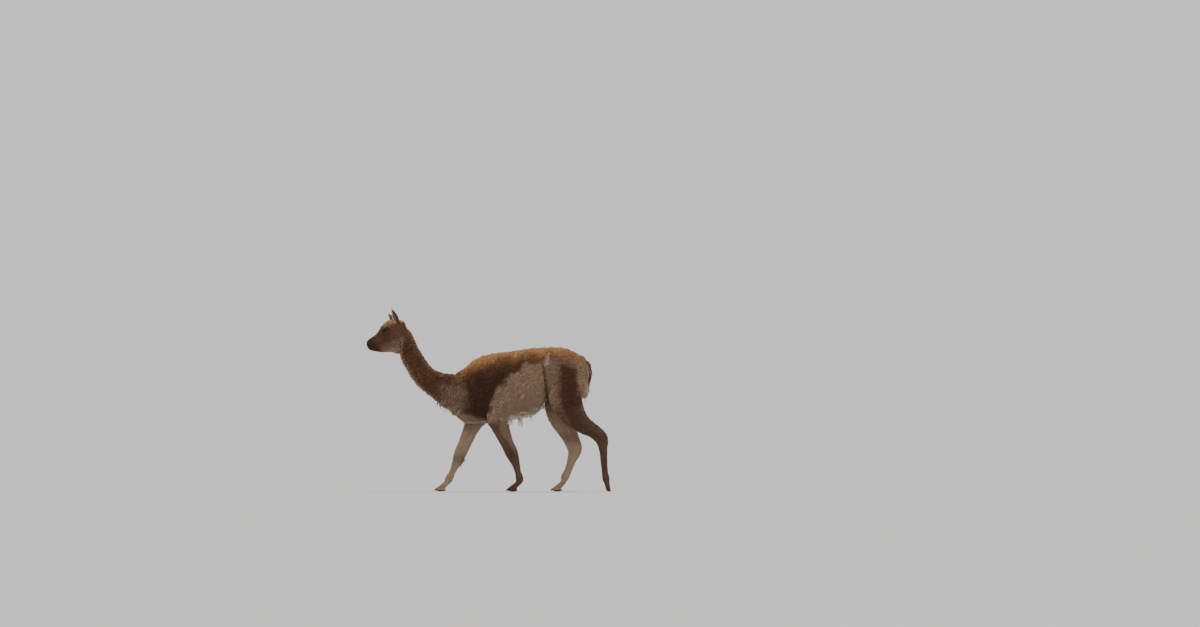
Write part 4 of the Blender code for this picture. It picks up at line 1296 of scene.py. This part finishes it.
# Eyes, ears and nails
def add_eye(name, side, material):
    """Eyeball about its line of sight: radius R, with the cornea raised by 1.1 (1 - (angle / 0.62)^2) mm.

    The pupil is a level oval, the iris runs out to 0.56 radians, and the white beyond is dark.
    """
    out, corner, up = [axis * [side, 1, 1] for axis in eye_axes()]
    tilt = np.linspace(0, np.pi, EYE_RINGS)[:, None]
    round_it = np.linspace(0, 2 * np.pi, EYE_SIDES, endpoint=False)[None]
    flat = np.cos(round_it)[..., None] * corner + np.sin(round_it)[..., None] * up
    way = np.cos(tilt)[..., None] * out + np.sin(tilt)[..., None] * flat
    radius = EYE_RADIUS - 0.25 + 1.1 * np.clip(1 - (tilt / 0.62) ** 2, 0, 1)
    centre = EYE_SEAT * [side, 1, 1]
    obj = add_tube(name, place_on_head(centre + radius[..., None] * way), shut=False)
    q = unit((points_of(obj) - place_on_head(centre)) @ HEAD_TURN)
    angle = np.arccos(np.clip(q @ out, -1, 1))
    pupil = np.hypot((q @ corner) / 0.34, (q @ up) / 0.2)
    colour = layered(
        PUPIL,
        (IRIS, ramp(pupil, 0.85, 1.1)),
        (IRIS_RIM, ramp(angle, 0.46, 0.56)),
        (EYE_WHITE, ramp(angle, 0.6, 0.75)),
    )
    paint(obj, colour)
    give_material(obj, material)
    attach(obj, "root")
    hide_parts("eye_left" if side > 0 else "eye_right")


def add_lashes(material):
    """Long dark lashes along the edge of each upper lid, fanned outwards and bent down."""
    rng = np.random.default_rng(5)
    out, corner, up = eye_axes()
    long, above, _ = EYE_OPENING
    at = np.linspace(-0.92, 0.9, LASHES)
    for name, side in (("left", 1), ("right", -1)):
        mirror = [side, 1, 1]
        edge = 1.02 * (at[:, None] * long * corner + (1 - at**2)[:, None] * above * up)
        deep = np.sqrt(np.maximum((EYE_RADIUS + 1.6) ** 2 - (edge**2).sum(1), 0))
        root = EYE_SEAT + edge + deep[:, None] * out
        lie = unit(0.8 * out + 0.3 * unit(edge) + 0.08 * rng.normal(size=(LASHES, 3)) - [0, 0, 0.45])
        lie = lie * mirror
        normal = unit(np.cross(lie, np.cross(up * mirror, lie)))
        lashes = add_tufts(
            f"lashes_{name}",
            material,
            root=place_on_head(root * mirror),
            normal=normal @ HEAD_TURN.T,
            lie=lie @ HEAD_TURN.T,
            length=rng.uniform(6, 9, LASHES) * (1 - 0.45 * at**2),
            width=np.full(LASHES, LASH_WIDTH),
            lift=np.full(LASHES, -0.3),
            colour=np.repeat(LASH[None], LASHES, 0),
            uv=np.stack([0.05 + 0.9 * np.arange(LASHES) / LASHES, np.full(LASHES, 0.5)], 1),
        )


def ear_rows(side, lean, splay):
    """Points of an ear on the head, in rows up its length and columns round its wall.

    At each height the section is a C of the row's radius, closing angle and thickness, open forwards
    and outwards, its outer arc first and its inner arc back again. Each row comes with its share of
    the ear's length, and each column with its place from rim to rim, -1 to 1, and 1 where it is inside.
    """
    axis = unit(np.array([side * np.sin(np.radians(splay)), -np.sin(np.radians(lean)), 1.0]))
    open_to = np.array([side * 0.62, -0.78, 0])
    open_to = unit(open_to - axis * (axis @ open_to))
    beside = np.cross(axis, open_to)
    table = along([(u * EAR_LENGTH, r, a, t) for u, r, a, t in EAR], EAR_ROWS, 1)
    height, radius, angle, thick = table.T[:, :, None]
    part = height / EAR_LENGTH
    bend = np.linspace(-1, 1, EAR_COLUMNS)
    bend = np.concatenate([bend, bend[::-1]])
    inner = np.repeat([0, 1], EAR_COLUMNS)
    turns = np.radians(angle) * bend
    # the rim is rounded: the wall thins towards it
    wall = thick * np.sqrt(np.clip(1 - bend**8, 0.02, 1))
    reach = np.where(inner > 0, np.maximum(radius - wall, 0.15 * radius), radius) - 0.8
    curl = np.array([-side * 7, 3, 0]) * (part**2)[..., None] - open_to * 5 * part[..., None]
    spread = -open_to * np.cos(turns)[..., None] + 1.12 * beside * np.sin(turns)[..., None]
    base = np.array([side * EAR_BASE[0], -EAR_BASE[1], EAR_BASE[2]])
    points = base + axis * height[..., None] + curl + reach[..., None] * spread
    return points, part[:, 0], bend, inner


def ear_colour(part, edge, inside):
    """Brown back, darker to rim and tip; inside bare brown skin, cream towards the rim."""
    outer = mix(BROWN, DARK, 0.3 + 0.7 * ramp(edge + part, 0.7, 1.3))
    deep = mix(CREAM, EAR_SKIN, ramp(edge, 0.5, 0.1))
    return mix(outer, deep, inside * ramp(edge, 1.0, 0.85))


def add_ear(name, side, skin_material, coat_material):
    """One ear: its cup, short fur outside, and longer pale hair along the inside of its rims."""
    points, part, bend, inner = ear_rows(side, *EAR_HOLD[name])
    rows, columns, _ = points.shape
    edge = np.abs(bend) ** 3
    cup = add_tube(f"ear_cup_{name}", place_on_head(points))

    # each point of the cup takes the colour of the row and column that it came from
    origin = {tuple(place): i for i, place in enumerate(np.round(points.reshape(-1, 3), 2))}
    index = np.array([origin.get(tuple(place), 0) for place in np.round(on_head(own_points(cup)), 2)])
    row, column = np.divmod(index, columns)
    paint(cup, 0.85 * ear_colour(part[row], edge[column], inner[column]))
    mark(cup, "bare", 0.4 * inner[column])
    give_material(cup, skin_material)
    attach(cup, "root")
    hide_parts(f"ear_{name}")

    # fur: a tuft from places drawn evenly over the cup's rows and columns
    rng = np.random.default_rng(8 + side)
    count = EAR_TUFTS
    row = rng.uniform(1, rows - 2, count)
    column = rng.uniform(0, columns, count)
    r = row.astype(int)
    c = column.astype(int)
    beside = (c + 1) % columns
    below = mix(points[r, c], points[r, beside], column - c)
    above = mix(points[r + 1, c], points[r + 1, beside], column - c)
    root = mix(below, above, row - r)
    along_ear = unit(points[r + 1, c] - points[r, c])
    normal = unit(np.cross(along_ear, points[r, beside] - points[r, c]))

    # outside the fur points away from the cup's middle, and inside towards it
    inside = inner[c]
    middle = points[:, : columns // 2].mean(1)[r]
    outwards = np.sign((normal * (root - middle)).sum(1))
    normal = normal * np.where(inside > 0, -outwards, outwards)[:, None]
    place = edge[c]
    short = 1 - 0.6 * ramp(part[r], 0.6, 1.0)
    length = np.where(inside > 0, 4 + 8 * ramp(place, 0.2, 0.9), 5.5) * short * rng.uniform(0.8, 1.2, count)
    kept = (inside == 0) | (place > 0.25) | (rng.random(count) < 0.25)
    lie = unit(flat_to(along_ear + 0.15 * rng.normal(size=(count, 3)), normal))
    tufts = {
        "root": place_on_head(root),
        "normal": normal @ HEAD_TURN.T,
        "lie": lie @ HEAD_TURN.T,
        "length": length,
        "width": np.full(count, EAR_TUFT_WIDTH),
        "lift": np.where(inside > 0, 0.35, 0.18) * rng.uniform(0.7, 1.2, count),
        "colour": ear_colour(part[r], place, inside) * rng.uniform(0.85, 1.15, count)[:, None],
        "uv": np.stack([0.02 + 0.96 * column / columns, 0.02 + 0.96 * row / rows], 1),
    }
    piece = add_tufts(f"coat_ear_{name}", coat_material, **some_of(tufts, kept))


def add_nails(material):
    """Toenails: the solids' own, their edges rounded."""
    for name in [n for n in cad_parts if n.startswith("nail")]:
        nail = swollen_flesh([name], 0)
        nail.name = name.replace("nail", "toenail")
        clean(nail)
        bake_modifier(nail, "REMESH", mode="VOXEL", voxel_size=NAIL_VOXEL)
        relax(nail, 5, 0.5)
        give_material(nail, material)
        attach(nail, "root")
        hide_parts(name)


# Studio
def add_floor(material):
    """A level floor that reaches past the camera's view."""
    corners = [(x * FLOOR_REACH, y * FLOOR_REACH, 0) for x, y in ((-1, -1), (1, -1), (1, 1), (-1, 1))]
    floor = add_mesh("floor", corners, [(0, 1, 2, 3)])
    floor.data.materials.append(material)


def add_suns():
    """Key light over the camera's shoulder and a rim light from behind and above, both from far away."""
    for name, (way, strength, spread, colour) in SUNS.items():
        light = bpy.data.lights.new(name, "SUN")
        light.energy = strength
        light.angle = np.radians(spread)
        light.color = linear(colour)
        obj = bpy.data.objects.new(name, light)
        obj.rotation_euler = Vector(way).to_track_quat("Z", "Y").to_euler()
        bpy.context.scene.collection.objects.link(obj)


def add_surround():
    """A pale even surround."""
    world = bpy.data.worlds.new("studio")
    world.use_nodes = True
    background = world.node_tree.nodes["Background"]
    background.inputs[0].default_value = (*linear(SURROUND), 1)
    background.inputs[1].default_value = SURROUND_STRENGTH
    bpy.context.scene.world = world


def add_camera():
    """The photo's view: a long lens, low and far off the animal's left side."""
    camera = bpy.data.cameras.new("camera")
    camera.lens = LENS
    camera.clip_end = 1000
    obj = bpy.data.objects.new("camera", camera)
    place = Vector(SHIFT) + Vector(CAMERA_PLACE)
    target = Vector(SHIFT) + Vector(CAMERA_TARGET)
    obj.location = place
    obj.rotation_euler = (target - place).to_track_quat("-Z", "Y").to_euler()
    bpy.context.scene.collection.objects.link(obj)
    bpy.context.scene.camera = obj


def main():
    """The camera, lights and floor, and then the animal from its skin outwards."""
    add_camera()
    add_suns()
    add_surround()
    add_floor(floor_material())
    hide = hide_material()
    fleece = fleece_material()
    cornea = eye_material()
    skin = add_skin(hide)
    add_coat(skin, fleece)
    for name, side in (("left", 1), ("right", -1)):
        add_eye(f"eyeball_{name}", side, cornea)
        add_ear(name, side, hide, fleece)
    add_lashes(fleece)
    add_nails(horn_material())


main()
